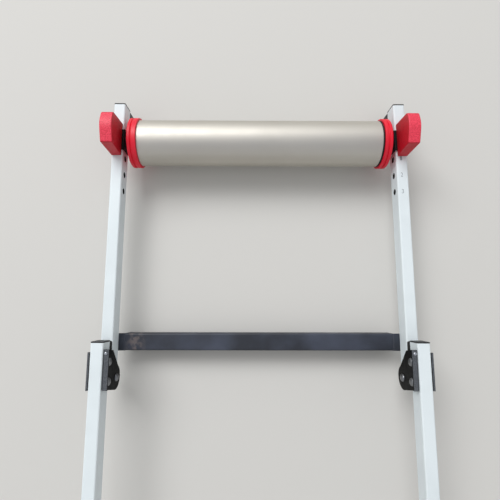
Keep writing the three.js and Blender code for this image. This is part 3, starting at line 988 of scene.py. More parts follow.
@dataclass(frozen=True)
class Rails:
    """The frame's four box tubes with their plugs, feet and pads.

    Attributes:
        shop: where the pieces go.
        wall: the tubes' wall.
        corner: the tubes' outer corner radius.
        edge: how far the tubes' cut edges are rounded.
        skin_share: the share of the wall that shows as its outer face.
        hole_count: how many axle holes a front rail has.
        plug_flange: a plug's flange thickness.
        plug_wall: a plug's stub wall.
        flange_round: the radius of a plug's and a foot's outer edges.
        foot_width: a foot's width.
        foot_length: a foot's length at the rail.
        foot_toe: a foot's length at the floor.
        foot_heel: the radius of its rear corner at the rail.
        pad_corner: a rubber pad's corner radius.
        pad_round: the radius of a pad's rims.
    """

    shop: Workshop
    wall: float = 0.0016
    corner: float = 0.0025
    edge: float = 0.00025
    skin_share: float = 0.4
    hole_count: int = 4
    plug_flange: float = 0.0018
    plug_wall: float = 0.0022
    flange_round: float = 0.0008
    foot_width: float = 0.017
    foot_length: float = 0.024
    foot_toe: float = 0.015
    foot_heel: float = 0.001
    pad_corner: float = 0.0025
    pad_round: float = 0.0006

    def rail(self, node: str, bores: list[Triple], screw: str) -> None:
        """Makes one rail.

        Args:
            node: the rail's node.
            bores: each cross bore's Y, Z and radius.
            screw: the node of the screw that enters the rail from below.
        """
        box = Extent.of(node)
        piece = box_tube(f"{node}_tube", box.section(Axis.Y), box.middle(Axis.Y), self.wall,
                         (self.corner, self.corner - self.wall), box.span(Axis.Y), Axis.Y)
        cutters = [bore(radius, box.span(Axis.X, OVERRUN), Axis.X, np.array([y, z]))
                   for y, z, radius in bores]
        cutters.append(bore(SCREW_BORE, (box.low[2] - OVERRUN, box.centre[2]), Axis.Z,
                            Extent.of(screw).middle(Axis.Z)))
        carved(piece, Carve.CUT, cutters)
        self.shop.hand_over(piece, node, Finishes.POWDER_WHITE, self.edge)
        self.shop.second_finish(piece, self.inside(piece, box), Finishes.MILL_SCALE)

    def inside(self, piece: Piece, box: Extent) -> Array:
        """Finds a rail's faces that look into the tube or line its holes.

        Formula: a face is inside where its centre lies deeper than the skin below the tube's
        outer faces, both across and up.

        Args:
            piece: the rail.
            box: its extent.

        Returns:
            For each face, whether it is inside.
        """
        centres = np.zeros((len(piece.data.polygons), 3), np.float32)
        piece.data.polygons.foreach_get("center", centres.ravel())
        depth = box.size / 2 - np.abs(centres - box.centre)
        return (depth[:, [0, 2]] > self.skin_share * self.wall).all(axis=1)

    def stub(self, box: Extent, rail: Extent, flange: float, facing: Facing) -> Piece:
        """Makes a plug's hollow stub inside the tube.

        Args:
            box: the plug's extent.
            rail: the tube's extent.
            flange: the Y of the flange's inner face.
            facing: the end that the plug closes.

        Returns:
            The stub.
        """
        size = rail.section(Axis.Y) - 2 * (self.wall + SEAT_GAP)
        root = flange + facing.value * self.plug_flange / 2
        tip = box.low[1] if facing is Facing.FRONT else box.high[1]
        return box_tube("stub", size, rail.middle(Axis.Y), self.plug_wall,
                        (self.plug_wall / 2, self.plug_wall / 4), (root, tip), Axis.Y)

    def plug(self, node: str, rail: Extent, facing: Facing) -> Piece:
        """Makes one end plug: a rounded flange and a stub.

        Args:
            node: the plug's node.
            rail: the extent of the tube that it closes.
            facing: the end that it closes.

        Returns:
            The plug, not yet handed over.
        """
        box = Extent.of(node)
        face = box.high[1] if facing is Facing.FRONT else box.low[1]
        inside = face - facing.value * self.plug_flange
        proud = box.size[0] - rail.size[0]
        outline = rectangle(rail.section(Axis.Y) + proud, rail.middle(Axis.Y), self.corner)
        flange = pressed(f"{node}_moulding", outline, (face, inside), Axis.Y, self.flange_round)
        return carved(flange, Carve.JOIN, [self.stub(box, rail, inside, facing)])

    def foot(self, side: Side) -> None:
        """Makes one front foot: an end plug with a tapered leg down to the floor.

        Args:
            side: the side of the frame.
        """
        node = side.node("front_foot")
        box, rail = Extent.of(node), Extent.of(side.node("front_rail"))
        nose, top = box.high[1], rail.low[2] - SEAT_GAP
        seat = nose - self.plug_flange
        outline = rounded([
            (nose, top + self.wall, 0), (nose, box.low[2], self.plug_flange),
            (nose - self.foot_toe, box.low[2], self.plug_flange),
            (nose - self.foot_length, top, self.foot_heel),
            (seat, top, 0), (seat, top + self.wall, 0)])
        half = self.foot_width / 2
        leg = pressed("leg", outline, (box.centre[0] - half, box.centre[0] + half), Axis.X,
                      self.flange_round)
        piece = carved(self.plug(node, rail, Facing.FRONT), Carve.JOIN, [leg])
        self.shop.hand_over(piece, node, Finishes.BLACK_NYLON)

    def pad(self, node: str) -> None:
        """Makes one rubber pad with rounded rims.

        Args:
            node: the pad's node.
        """
        box = Extent.of(node)
        outline = rectangle(box.section(Axis.Z), box.middle(Axis.Z), self.pad_corner)
        piece = pressed(f"{node}_rubber", outline, box.span(Axis.Z), Axis.Z, self.pad_round)
        self.shop.hand_over(piece, node, Finishes.BLACK_RUBBER)

    def build(self) -> None:
        """Makes the rails, plugs, feet and pads of both sides."""
        _, drum, level = Extent.of("front_axle").centre
        free = [(drum - i * HOLE_PITCH, level, AXLE_BORE) for i in range(self.hole_count)]
        axles = [(*Extent.of(name).middle(Axis.X), AXLE_BORE)
                 for name in ("middle_axle", "rear_axle")]
        for side in Side:
            bolts = [(*Extent.of(side.node(name)).middle(Axis.X), BOLT_BORE)
                     for name in Hinge.BOLTS]
            self.rail(side.node("front_rail"), free + bolts[:1], side.node("front_stand_screw"))
            self.rail(side.node("rear_rail"), axles + bolts[1:], side.node("rear_stand_screw"))
            rail = Extent.of(side.node("rear_rail"))
            for facing in Facing:
                node = side.node(f"rear_rail_{facing.name.lower()}_plug")
                self.shop.hand_over(self.plug(node, rail, facing), node, Finishes.BLACK_NYLON)
            self.foot(side)
            for name in ("rest_pad", "front_stand_pad", "rear_stand_pad"):
                self.pad(side.node(name))


@dataclass(frozen=True)
class Stands:
    """The two box bars that carry the frame, with their screws.

    Attributes:
        shop: where the pieces go.
        wall: the bar's wall.
        corner: the bar's corner radius.
        edge: how far cut edges are rounded.
        step: how far the bar's top lies under the tabs' level at the front.
        plate: the end plates' thickness.
        bend: the outer radius of the bend from plate to tab.
        crease: the radius of the corner under that bend.
        tab: how far a tab reaches.
        weep: the radius of the drain hole in each end plate.
        head: the height of a screw's head.
        head_round: the radius of the head's lower edge.
        head_edge: the radius of its upper edge.
        neck: the radius of the corner between head and shank.
        tip: the radius of the shank's end.
    """

    shop: Workshop
    wall: float = 0.0018
    corner: float = 0.003
    edge: float = 0.0004
    step: float = 0.001
    plate: float = 0.003
    bend: float = 0.004
    crease: float = 0.001
    tab: float = 0.028
    weep: float = 0.0035
    head: float = 0.0034
    head_round: float = 0.0016
    head_edge: float = 0.0003
    neck: float = 0.0002
    tip: float = 0.0006

    def end(self, box: Extent, side: Side, screw: Extent, middle: float) -> Piece:
        """Makes one end: a plate bent over into a tab, with its two holes.

        Args:
            box: the stand's extent.
            side: which end.
            screw: the screw's extent.
            middle: the Z of the bar's middle.

        Returns:
            The end.
        """
        outer = box.high[0] - self.tab
        inner = outer - self.plate
        top, under = box.high[2], box.high[2] - self.plate
        section = side.mirrored(rounded([
            (inner, box.low[2], 0), (outer, box.low[2], 0), (outer, under, self.crease),
            (box.high[0], under, 0), (box.high[0], top, 0), (inner, top, self.bend)]))
        piece = pressed("end", section, box.span(Axis.Y), Axis.Y)
        reach = (side.value * (inner - OVERRUN), side.value * (outer + OVERRUN))
        drain = bore(self.weep, reach, Axis.X, np.array([box.centre[1], middle]))
        hole = bore(SCREW_BORE, (under - OVERRUN, top + OVERRUN), Axis.Z, screw.middle(Axis.Z))
        return carved(piece, Carve.CUT, [drain, hole])

    def stand(self, name: str) -> None:
        """Makes one stand.

        Args:
            name: the stand's node.
        """
        box = Extent.of(name)
        top = Extent.of("front_rail_right").low[2] - SEAT_GAP - self.step
        height, middle = top - box.low[2], (top + box.low[2]) / 2
        reach = box.high[0] - self.tab - self.plate / 2
        piece = box_tube(f"{name}_bar", np.array([box.size[1], height]),
                         np.array([box.centre[1], middle]), self.wall,
                         (self.corner, self.corner - self.wall), (-reach, reach), Axis.X)
        ends = [self.end(box, side, Extent.of(side.node(f"{name}_screw")), middle)
                for side in Side]
        carved(piece, Carve.JOIN, ends)
        self.shop.hand_over(piece, name, Finishes.SCUFFED_BLACK, self.edge)

    def screw(self, node: str) -> None:
        """Makes one pan-headed screw that stands up through a tab.

        Args:
            node: the screw's node.
        """
        box = Extent.of(node)
        length, wide, shank = box.size[2], box.size[0] / 2, SCREW_BORE - SEAT_GAP
        profile = rounded([
            (0, 0, 0), (0, wide, self.head_round), (self.head, wide, self.head_edge),
            (self.head, shank, self.neck), (length, shank, self.tip), (length, 0, 0)], steps=4)
        self.shop.hand_over(upright(f"{node}_steel", profile, box.foot), node, Finishes.ZINC)

    def build(self) -> None:
        """Makes both stands and their screws."""
        for name in ("front_stand", "rear_stand"):
            self.stand(name)
            for side in Side:
                self.screw(side.node(f"{name}_screw"))


@dataclass(frozen=True)
class Hinge:
    """The hinge of each side: two sheets that hold the rails, three bolts and a rivet.

    Attributes:
        shop: where the pieces go.
        sheet: the sheets' thickness.
        edge: how far the sheets' edges are rounded.
        flange: the inner sheet's top flange.
        bend: the outer radius of the flange's bend.
        rear: how far the sheets' tops reach behind the pivot.
        slant: how far back the front edge's lower end lies from its upper end.
        nose_rise: how far over the pivot the front edge's lower end is.
        throat: where the slanted edge ends.
        throat_drop: how far below the pivot that is.
        lobe: the radius of the lobe round the pivot.
        lobe_turn: the angles between which the lobe's rim runs.
        lobe_points: how many points the rim has.
        corner: the sheets' corner radius.
        bolt: a bolt's radius.
        dome: the height of the dome at each end of a bolt.
        dome_steps: how many chords a dome has.
    """

    BOLTS = ("pivot_bolt", "bracket_bolt_rear", "bracket_bolt_front")

    shop: Workshop
    sheet: float = 0.003
    edge: float = 0.0004
    flange: float = 0.009
    bend: float = 0.004
    rear: float = 0.010
    slant: float = 0.0045
    nose_rise: float = 0.019
    throat: float = 0.019
    throat_drop: float = 0.007
    lobe: float = 0.0195
    lobe_turn: Pair = (-45.0, -190.0)
    lobe_points: int = 30
    corner: float = 0.005
    bolt: float = 0.004
    dome: float = 0.004
    dome_steps: int = 8

    def plate(self, node: str, side: Side, span: Pair, over: float) -> Piece:
        """Makes a plate of the outline that both sheets share, bored for the bolts.

        Formula: the lobe's rim is an arc round the pivot; the rest are rounded corners.

        Args:
            node: the node of the sheet that it is, or is to trim.
            side: the side of the frame.
            span: where it starts and ends along X.
            over: how far its top lies over the rail's.

        Returns:
            The plate.
        """
        pivot = Extent.of(side.node("pivot_bolt")).middle(Axis.X)
        y, z = pivot
        front = Extent.of(node).high[1]
        top = Extent.of(side.node("rear_rail")).high[2]
        angles = np.radians(np.linspace(*self.lobe_turn, self.lobe_points))
        rim = stood(arc(pivot, self.lobe, angles), 0, Axis.Z)
        outline = rounded(np.vstack([
            [(y - self.rear, top + over, 0), (front, top + over, 0),
             (front, top - self.bend, self.corner),
             (front - self.slant, z + self.nose_rise, self.corner),
             (y + self.throat, z - self.throat_drop, self.lobe / 2)],
            rim, [(y - self.rear, top - self.bend, self.corner)]]))
        bolts = [Extent.of(side.node(bolt)).middle(Axis.X) for bolt in self.BOLTS]
        reach = (span[0] - OVERRUN, span[1] + OVERRUN)
        return carved(pressed(f"{node}_sheet", outline, span, Axis.X), Carve.CUT,
                      [bore(BOLT_BORE, reach, Axis.X, place) for place in bolts])

    def bracket(self, side: Side) -> None:
        """Makes the inner sheet: an L section kept inside the outline.

        Args:
            side: the side of the frame.
        """
        node = side.node("hinge_bracket")
        box = Extent.of(node)
        outer, top, bottom = box.outboard[1], box.high[2], box.low[2] - OVERRUN
        inner, tip = outer - self.sheet, outer - self.flange
        section = side.mirrored(rounded([
            (outer, bottom, 0), (outer, top, self.bend), (tip, top, 0),
            (tip, top - self.sheet, 0), (inner, top - self.sheet, self.bend - self.sheet),
            (inner, bottom, 0)]))
        piece = pressed(f"{node}_folded", section, box.span(Axis.Y, OVERRUN), Axis.Y)
        carved(piece, Carve.COMMON,
               [self.plate(node, side, box.span(Axis.X, OVERRUN), OVERRUN)])
        self.shop.hand_over(piece, node, Finishes.HINGE_BLACK, self.edge)

    def head(self, start: float, height: float, radius: float) -> Array:
        """Draws a domed head.

        Formula: at each angle a the profile is the start plus height times sine a, and
        radius times cosine a.

        Args:
            start: where the head's flat side is.
            height: the dome's height, with its sign.
            radius: the head's radius.

        Returns:
            The dome's profile from its rim to its top.
        """
        angle = np.linspace(0, math.pi / 2, self.dome_steps + 1)
        return np.stack([start + height * np.sin(angle), radius * np.cos(angle)], axis=1)

    def bolt_through(self, node: str) -> None:
        """Makes one bolt, with a dome at each end.

        Args:
            node: the bolt's node.
        """
        box = Extent.of(node)
        low, high = box.span(Axis.X, -self.dome)
        radius = box.size[2] / 2
        profile = np.vstack([
            self.head(low, -self.dome, radius)[::-1], [(low, self.bolt), (high, self.bolt)],
            self.head(high, self.dome, radius)])
        piece = turned(f"{node}_steel", profile, box.middle(Axis.X), Facets.BOLT)
        self.shop.hand_over(piece, node, Finishes.DARK_ZINC)

    def rivet(self, node: str) -> None:
        """Makes the small domed rivet on a bracket's flange.

        Args:
            node: the rivet's node.
        """
        box = Extent.of(node)
        profile = np.vstack([[(0, 0)], self.head(0, box.size[2], box.size[1] / 2)])
        self.shop.hand_over(upright(f"{node}_steel", profile, box.foot), node, Finishes.ZINC)

    def build(self) -> None:
        """Makes both hinges."""
        for side in Side:
            self.bracket(side)
            node = side.node("hinge_plate")
            self.shop.hand_over(self.plate(node, side, Extent.of(node).span(Axis.X), 0), node,
                                Finishes.HINGE_BLACK, self.edge)
            for name in self.BOLTS:
                self.bolt_through(side.node(name))
            self.rivet(side.node("flange_rivet"))


@dataclass(frozen=True)
class Drum:
    """One drum with its caps, bearings, axle and nut.

    Attributes:
        shop: where the pieces go.
        place: front, middle or rear.
        wall: the tube's wall.
        flange: the width of a cap's outer flange.
        groove: the belt groove's width.
        groove_depth: the belt groove's depth.
        cap_wall: a cap's wall.
        spigot: how far a cap reaches into the tube.
        dish: how deep a cap's face is dished.
        dish_lean: how far the dish's outer wall leans in.
        hub_lean: how far its inner wall leans out.
        bearing: a bearing's radius.
        bearing_width: a bearing's width.
        outer_ring: the thickness of a bearing's outer ring.
        recess: how far a bearing's shield lies in.
        ring: the radius of a bearing's inner ring.
        axle: the axle's radius.
        hexagon: the width across the flats of head and nut.
        hexagon_face: the radius of their round end face, as a share of that width.
        chamfer: how far the chamfers on their corners reach.
        washer: a washer's radius.
        washer_thickness: a washer's thickness.
        sunk: how far the axle starts inside its head.
        joined: how far head and nut run into their washers.
        deburred: the radius of the finest turned edges.
        broken: the radius of the washers' and the inner rings' edges.
        ground: the radius of the outer rings' edges and of their seats.
        edge: the radius of the other small edges.
        valley: the radius of the groove's bottom and the dish's upper edges.
        tip: the radius of the axle's end.
        lip: the radius of a cap's edge beside the tube.
        root: the radius of the corner behind a cap's spigot.
        brim: the radius of a cap's outer edge and the dish's bottom.
    """

    shop: Workshop
    place: str
    wall: float = 0.0025
    flange: float = 0.0048
    groove: float = 0.003
    groove_depth: float = 0.0026
    cap_wall: float = 0.0032
    spigot: float = 0.016
    dish: float = 0.004
    dish_lean: float = 0.0024
    hub_lean: float = 0.0012
    bearing: float = 0.013
    bearing_width: float = 0.008
    outer_ring: float = 0.0016
    recess: float = 0.0008
    ring: float = 0.008
    axle: float = 0.005
    hexagon: float = 0.016
    hexagon_face: float = 0.48
    chamfer: float = 0.0009
    washer: float = 0.01
    washer_thickness: float = 0.0015
    sunk: float = 0.001
    joined: float = 0.0001
    deburred: float = 0.0002
    broken: float = 0.0003
    ground: float = 0.0004
    edge: float = 0.0005
    valley: float = 0.0007
    tip: float = 0.0008
    lip: float = 0.0009
    root: float = 0.001
    brim: float = 0.0012

    def node(self, name: str) -> str:
        """Gives the frame's name of one of this drum's pieces."""
        return f"{self.place}_{name}"

    @property
    def shell(self) -> Extent:
        """The extent of the drum's tube."""
        return Extent.of(self.node("drum_tube"))

    @property
    def line(self) -> Array:
        """The Y and Z of the drum's axis."""
        return self.shell.middle(Axis.X)

    def tube(self) -> None:
        """Makes the drum's tube, with its ends eased."""
        node = self.node("drum_tube")
        radius, half = self.shell.size[2] / 2, self.shell.size[0] / 2
        profile = rounded([
            (-half, radius - self.wall, self.deburred), (-half, radius, self.edge),
            (half, radius, self.edge), (half, radius - self.wall, self.deburred)], steps=3)
        piece = turned(f"{node}_shell", profile, self.line, Facets.SHELL)
        self.shop.hand_over(piece, node, Finishes.ANODISED)

    def cap(self, side: Side) -> None:
        """Makes one moulded cap with its belt groove, dished face and bearing seat.

        Args:
            side: the side of the frame.
        """
        node = side.node(self.node("drum_cap"))
        box = Extent.of(node)
        rim, end = box.size[2] / 2, self.shell.size[0] / 2
        spigot = self.shell.size[2] / 2 - self.wall - SEAT_GAP
        face = box.outboard[1]
        ringed = self.place == "front" and side is Side.RIGHT
        start = end + SEAT_GAP + (self.ring_width() if ringed else 0)
        groove_end = face - self.flange
        back = face - SEAT_GAP - self.bearing_width - self.recess
        seat, neck = self.bearing + SEAT_GAP, self.ring + 2 * SEAT_GAP
        hub, floor = seat + self.cap_wall, face - self.dish
        profile = rounded([
            (end - self.spigot, spigot - self.cap_wall, 0), (end - self.spigot, spigot, self.edge),
            (start, spigot, 0), (start, rim, self.lip),
            (groove_end - self.groove, rim, self.edge),
            (groove_end - self.groove / 2, rim - self.groove_depth, self.valley),
            (groove_end, rim, self.edge), (face, rim, self.brim),
            (face, rim - self.cap_wall, self.valley),
            (floor, rim - self.cap_wall - self.dish_lean, self.brim),
            (floor, hub + self.hub_lean, self.brim), (face, hub, self.valley),
            (face, seat, self.ground), (back, seat, 0), (back, neck, 0),
            (back - self.cap_wall, neck, 0), (back - self.cap_wall, hub, self.edge),
            (end - self.cap_wall, spigot - self.cap_wall, self.root)], steps=4)
        piece = turned(f"{node}_moulding", side.mirrored(profile), self.line, Facets.CAP)
        self.shop.hand_over(piece, node, Finishes.RED_ABS)

    def ring_width(self) -> float:
        """The room between tube and cap that the joint ring fills."""
        return Extent.of("front_drum_joint_ring").size[0] + 2 * SEAT_GAP

    def joint_ring(self) -> None:
        """Makes the black ring between tube and right cap: painted shade of the gap there."""
        node = self.node("drum_joint_ring")
        box = Extent.of(node)
        low, high = box.span(Axis.X)
        outer, inner = box.size[2] / 2, self.shell.size[2] / 2 - self.wall
        profile = rounded([(low, inner, 0), (low, outer, self.edge), (high, outer, self.edge),
                           (high, inner, 0)], steps=4)
        piece = turned(f"{node}_rubber", profile, self.line, Facets.CAP)
        self.shop.hand_over(piece, node, Finishes.BLACK_RUBBER)

    def ball_bearing(self, side: Side) -> None:
        """Makes one shielded bearing with its long inner ring.

        Args:
            side: the side of the frame.
        """
        node = side.node(self.node("bearing"))
        inside, stop = Extent.of(node).outboard
        outside = inside + self.bearing_width
        hole, shield = self.axle + SEAT_GAP, self.bearing - self.outer_ring
        profile = rounded([
            (inside, hole, self.broken), (inside, self.bearing, self.ground),
            (outside, self.bearing, self.ground), (outside, shield, self.deburred),
            (outside - self.recess, shield, 0), (outside - self.recess, self.ring, 0),
            (stop, self.ring, self.ground), (stop, hole, self.broken)], steps=3)
        piece = turned(f"{node}_race", side.mirrored(profile), self.line, Facets.BEARING)
        self.shop.hand_over(piece, node, Finishes.GROUND_STEEL)

    def hexagonal(self, name: str, low: float, high: float) -> Piece:
        """Makes a hexagonal nut or head with turned chamfers on its corners.

        Formula: a six-sided prism along X, kept where it lies inside a turned profile that
        starts at the round end face and reaches the corners' radius a chamfer further in.

        Args:
            name: the piece's name.
            low: where it starts along X.
            high: where it ends.

        Returns:
            The hexagon.
        """
        corner, face = self.hexagon / math.sqrt(3), self.hexagon * self.hexagon_face
        outline = arc(self.line, corner, np.radians(np.arange(0, 360, 60)))
        cone = np.array([(low, 0), (low, face), (low + self.chamfer, corner),
                         (high - self.chamfer, corner), (high, face), (high, 0)])
        return carved(pressed(name, outline, (low, high), Axis.X), Carve.COMMON,
                      [turned("cone", cone, self.line, Facets.AXLE)])

    def disc(self, low: float, high: float) -> Piece:
        """Makes a washer with eased rims.

        Args:
            low: where it starts along X.
            high: where it ends.

        Returns:
            The washer.
        """
        profile = rounded([(low, 0, 0), (low, self.washer, self.broken),
                           (high, self.washer, self.broken), (high, 0, 0)], steps=3)
        return turned("washer", profile, self.line, Facets.AXLE)

    def shaft(self) -> None:
        """Makes the axle with its washer and hexagonal head on the left."""
        node = self.node("axle")
        low, tip = Extent.of(node).span(Axis.X)
        height = Extent.of(self.node("axle_nut")).size[0] - self.washer_thickness
        start, seat = low + self.sunk, low + height
        profile = rounded([(start, 0, 0), (start, self.axle, 0), (tip, self.axle, self.tip),
                           (tip, 0, 0)], steps=3)
        piece = turned(f"{node}_steel", profile, self.line, Facets.AXLE)
        carved(piece, Carve.JOIN, [self.hexagonal("head", low, seat),
                                   self.disc(seat - self.joined, seat + self.washer_thickness)])
        self.shop.hand_over(piece, node, Finishes.ZINC)

    def nut(self) -> None:
        """Makes the axle nut and its washer on the right."""
        node = self.node("axle_nut")
        box = Extent.of(node)
        seat = box.low[0] + self.washer_thickness
        piece = self.hexagonal(f"{node}_steel", seat - self.joined, box.high[0])
        carved(piece, Carve.JOIN, [self.disc(box.low[0], seat)])
        hole = bore(self.axle + SEAT_GAP, box.span(Axis.X, OVERRUN), Axis.X, self.line,
                    Facets.AXLE)
        self.shop.hand_over(carved(piece, Carve.CUT, [hole]), node, Finishes.ZINC)

    def build(self) -> None:
        """Makes the drum's pieces."""
        self.tube()
        for side in Side:
            self.cap(side)
            self.ball_bearing(side)
        if self.node("drum_joint_ring") in frame["nodes"]:
            self.joint_ring()
        self.shaft()
        self.nut()


@dataclass(frozen=True)
class WheelGuards:
    """The saddles that wrap the front rails and the moulded guards on them.

    Attributes:
        shop: where the pieces go.
        sheet: the saddle's thickness.
        sheet_edge: how far the saddle's edges are rounded.
        sheet_fold: the inner radius of the saddle's bends.
        wall: the guard's wall.
        width: the guard's width at its base.
        flare: how much wider it is at the crown's height.
        rear: the rear edge of its top: how far in, how high and its radius.
        crown: the crown: how far in front of the axle, how high and its radius.
        front: the front edge of its top: how far in, how high and its radius.
        edge: the radius of the side edges.
        rib: a rib's thickness.
        rib_pitch: the distance between the two ribs.
    """

    shop: Workshop
    sheet: float = 0.0025
    sheet_edge: float = 0.0004
    sheet_fold: float = 0.0003
    wall: float = 0.003
    width: float = 0.018
    flare: float = 0.0026
    rear: Triple = (0.0025, 0.0498, 0.003)
    crown: Triple = (0.005, 0.0592, 0.0365)
    front: Triple = (0.0042, 0.0522, 0.008)
    edge: float = 0.0016
    rib: float = 0.0022
    rib_pitch: float = 0.0185

    def saddle(self, side: Side) -> None:
        """Makes one saddle: sheet folded over the rail.

        Args:
            side: the side of the frame.
        """
        node = side.node("axle_saddle")
        box, rail = Extent.of(node), Extent.of(side.node("front_rail"))
        top, bottom, outside = box.high[2], box.low[2], box.size[0] / 2
        inside, under = outside - self.sheet, top - self.sheet
        section = rounded([
            (outside, bottom, 0), (outside, top, self.sheet), (-outside, top, self.sheet),
            (-outside, bottom, 0), (-inside, bottom, 0), (-inside, under, self.sheet_fold),
            (inside, under, self.sheet_fold), (inside, bottom, 0)]) + (box.centre[0], 0)
        piece = pressed(f"{node}_sheet", section, box.span(Axis.Y), Axis.Y)
        carved(piece, Carve.CUT, [bore(AXLE_BORE, box.span(Axis.X, OVERRUN), Axis.X,
                                       np.array([box.centre[1], rail.centre[2]]))])
        self.shop.hand_over(piece, node, Finishes.SADDLE_BLACK, self.sheet_edge)

    def side_view(self, box: Extent, axle: float, drawn_in: float) -> Array:
        """Draws a guard's side view: a block whose top rises to a crown.

        Args:
            box: the guard's extent.
            axle: the axle's Y.
            drawn_in: how far inside the outer face, or zero for the outer face.

        Returns:
            The outline.
        """
        rear, front = box.low[1] + drawn_in, box.high[1] - drawn_in
        base = box.low[2] - (OVERRUN if drawn_in else 0)
        level = box.low[2] - drawn_in
        corners = ((front - self.front[0], self.front), (axle + self.crown[0], self.crown),
                   (rear + self.rear[0], self.rear))
        return rounded([(rear, base, 0), (front, base, 0)] + [
            (place, level + rise, max(radius - drawn_in, self.edge / 2))
            for place, (_, rise, radius) in corners], steps=12)

    def guard(self, side: Side) -> None:
        """Makes one guard: a moulded block that flares upwards, hollow below, ribbed inside.

        Formula: a point's distance from the guard's middle plane grows by flare over width,
        times its height over the crown's.

        Args:
            side: the side of the frame.
        """
        node = side.node("wheel_guard")
        box, saddle = Extent.of(node), Extent.of(side.node("axle_saddle"))
        middle, axle, half = box.centre[0], saddle.centre[1], self.width / 2
        piece = pressed(f"{node}_moulding", self.side_view(box, axle, 0),
                        (middle - half, middle + half), Axis.X, self.edge, steps=4)
        inside = half - self.wall
        hollow = pressed("hollow", self.side_view(box, axle, self.wall),
                         (middle - inside, middle + inside), Axis.X, self.edge / 2)
        ribs = [block((box.low[0], y - self.rib / 2, box.low[2]),
                      (box.high[0], y + self.rib / 2, box.high[2]))
                for y in (axle - self.rib_pitch / 2, axle + self.rib_pitch / 2)]
        carved(piece, Carve.CUT, [carved(hollow, Carve.CUT, ribs)])
        rate = self.flare / self.width / self.crown[1]

        def widened(points: Array) -> Array:
            """Moves points away from the guard's middle plane, more so higher up."""
            share = 1 + rate * (points[:, 2] - box.low[2])
            return np.column_stack([middle + (points[:, 0] - middle) * share, points[:, 1:]])

        notch = block((box.low[0] - OVERRUN, saddle.low[1] - SEAT_GAP, box.low[2] - OVERRUN),
                      (box.high[0] + OVERRUN, saddle.high[1] + SEAT_GAP, saddle.high[2] + SEAT_GAP))
        carved(reshaped(piece, widened), Carve.CUT, [notch])
        self.shop.hand_over(piece, node, Finishes.FADED_RED_ABS)

    def build(self) -> None:
        """Makes both saddles and both guards."""
        for side in Side:
            self.saddle(side)
            self.guard(side)


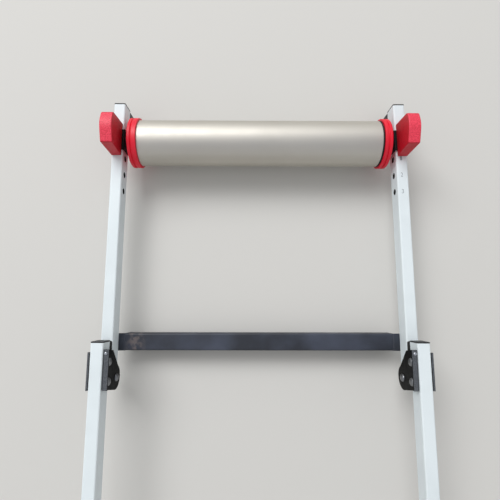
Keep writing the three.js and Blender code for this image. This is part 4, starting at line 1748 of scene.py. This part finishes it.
@dataclass(frozen=True)
class Studio:
    """The floor, the lamp, the world and the camera.

    Attributes:
        sensor_mm: the width of the camera's sensor.
        lens_mm: the camera's lens.
        eye: the camera's place.
        tilt_degrees: the camera's turn about each axis.
        floor_span: the floor's width.
        floor_depth: how deep the floor's underside and its top lie.
        floor_colour: the floor's colour.
        floor_fade: how far out the floor starts to turn into the backdrop, and where it has.
        backdrop: the colour that the camera and glossy surfaces see past the floor.
        ceiling: the colour that they see straight above.
        ceiling_rise: the heights, as the sine of the view's slope, between which it comes in.
        ambient: the strength of the even light from all round.
        lamp_aim: the point that the lamp, a long soft box, looks at.
        lamp_way: the way from that point to the lamp.
        lamp_far: the lamp's distance.
        lamp_span: the lamp's length and width.
        lamp_power: the lamp's power in watts.
    """

    sensor_mm: float = 36.0
    lens_mm: float = 27.519
    eye: Triple = (-0.01902, 0.29798, 0.71253)
    tilt_degrees: Triple = (8.4685, -0.2419, 0.1087)
    floor_span: float = 30.0
    floor_depth: Pair = (-0.01, -0.0001)
    floor_colour: str = "#D0CFCC"
    floor_fade: Pair = (1.1, 2.6)
    backdrop: str = "#E4E4E3"
    ceiling: str = "#BEC1CB"
    ceiling_rise: Pair = (0.15, 0.75)
    ambient: float = 0.7
    lamp_aim: Triple = (0.0, 0.3, 0.0)
    lamp_way: Triple = (-0.46, 0.78, 1.0)
    lamp_far: float = 6.5
    lamp_span: Pair = (5.0, 3.0)
    lamp_power: float = 310.0

    def camera(self) -> None:
        """Sets up the camera at the photograph's place, turn and lens."""
        data = bpy.data.cameras.new("camera")
        data.sensor_width = self.sensor_mm
        data.sensor_fit = "HORIZONTAL"
        data.lens = self.lens_mm
        made = linked("camera", data)
        made.location = self.eye
        made.rotation_euler = Euler([math.radians(angle) for angle in self.tilt_degrees])
        bpy.context.scene.camera = made

    def lamp(self) -> None:
        """Adds the soft box, which looks at the front half of the object."""
        data = bpy.data.lights.new("soft_box", "AREA")
        data.energy = self.lamp_power
        data.shape = "RECTANGLE"
        data.size, data.size_y = self.lamp_span
        made = linked("soft_box", data)
        towards = unit(np.array(self.lamp_way))
        made.location = towards * self.lamp_far + self.lamp_aim
        made.rotation_euler = Euler((math.acos(towards[2]), 0,
                                     math.atan2(towards[1], towards[0]) + math.pi / 2))

    def floor(self) -> None:
        """Lays the pale floor just under the object."""
        half = self.floor_span / 2
        outline = np.array([(-half, -half), (half, -half), (half, half), (-half, half)])
        made = pressed("floor", outline, self.floor_depth, Axis.Z)
        made.data.materials.append(self.floor_finish())

    def floor_finish(self) -> bpy.types.Material:
        """Builds the matt floor, which far out shows the backdrop's colour in its place.

        Returns:
            The material.
        """
        made = bpy.data.materials.new("pale_floor")
        tree = cleared(made)
        place = add_node(tree, "ShaderNodeTexCoord").outputs["Object"]
        away = add_node(tree, "ShaderNodeVectorMath", [place], {"operation": "LENGTH"})
        far = add_node(tree, "ShaderNodeMapRange", [away.outputs["Value"], *self.floor_fade, 0, 1])
        share = add_node(tree, "ShaderNodeMath", [far.outputs[0], self.seen(tree)],
                         {"operation": "MULTIPLY"})
        matt = add_node(tree, "ShaderNodeBsdfDiffuse", [linear(self.floor_colour)])
        shown = add_node(tree, "ShaderNodeEmission", [linear(self.backdrop)])
        mixed = add_node(tree, "ShaderNodeMixShader",
                         [share.outputs[0], matt.outputs[0], shown.outputs[0]])
        add_node(tree, "ShaderNodeOutputMaterial", [mixed.outputs[0]])
        return made

    def seen(self, tree: Tree) -> Socket:
        """Adds a test for what the eye, gloss or glass looks at, not what light falls from.

        Args:
            tree: the tree.

        Returns:
            One for such a look, else zero.
        """
        path = add_node(tree, "ShaderNodeLightPath")
        seen = path.outputs["Is Camera Ray"]
        for kind in ("Is Glossy Ray", "Is Transmission Ray"):
            seen = add_node(tree, "ShaderNodeMath", [seen, path.outputs[kind]],
                            {"operation": "MAXIMUM"}).outputs[0]
        return seen

    def world(self) -> None:
        """Lights the scene evenly and shows a backdrop and a ceiling to the eye and to gloss."""
        made = bpy.data.worlds.new("studio")
        tree = cleared(made)
        way = add_node(tree, "ShaderNodeTexCoord").outputs["Generated"]
        rise = add_node(tree, "ShaderNodeSeparateXYZ", [way]).outputs[2]
        share = add_node(tree, "ShaderNodeMapRange", [rise, *self.ceiling_rise, 0, 1])
        colour = add_node(tree, "ShaderNodeMix", [share.outputs[0]], {
            "data_type": "RGBA", 6: linear(self.backdrop), 7: linear(self.ceiling)})
        light = add_node(tree, "ShaderNodeBackground", (), {"Strength": self.ambient})
        shown = add_node(tree, "ShaderNodeBackground", [colour.outputs[2]])
        mixed = add_node(tree, "ShaderNodeMixShader",
                         [self.seen(tree), light.outputs[0], shown.outputs[0]])
        add_node(tree, "ShaderNodeOutputWorld", [mixed.outputs[0]])
        bpy.context.scene.world = made

    def build(self) -> None:
        """Sets up the whole studio."""
        bpy.context.scene.view_settings.view_transform = "Standard"
        self.camera()
        self.floor()
        self.world()
        self.lamp()


def main() -> None:
    """Builds the studio and the rollers, assembly by assembly."""
    logging.basicConfig(level=logging.INFO, format="%(message)s")
    Studio().build()
    shop = Workshop()
    Rails(shop).build()
    RailNumbers(shop).build()
    Stands(shop).build()
    Hinge(shop).build()
    for place in ("front", "middle", "rear"):
        Drum(shop, place).build()
    WheelGuards(shop).build()


if __name__ == "__main__":
    main()
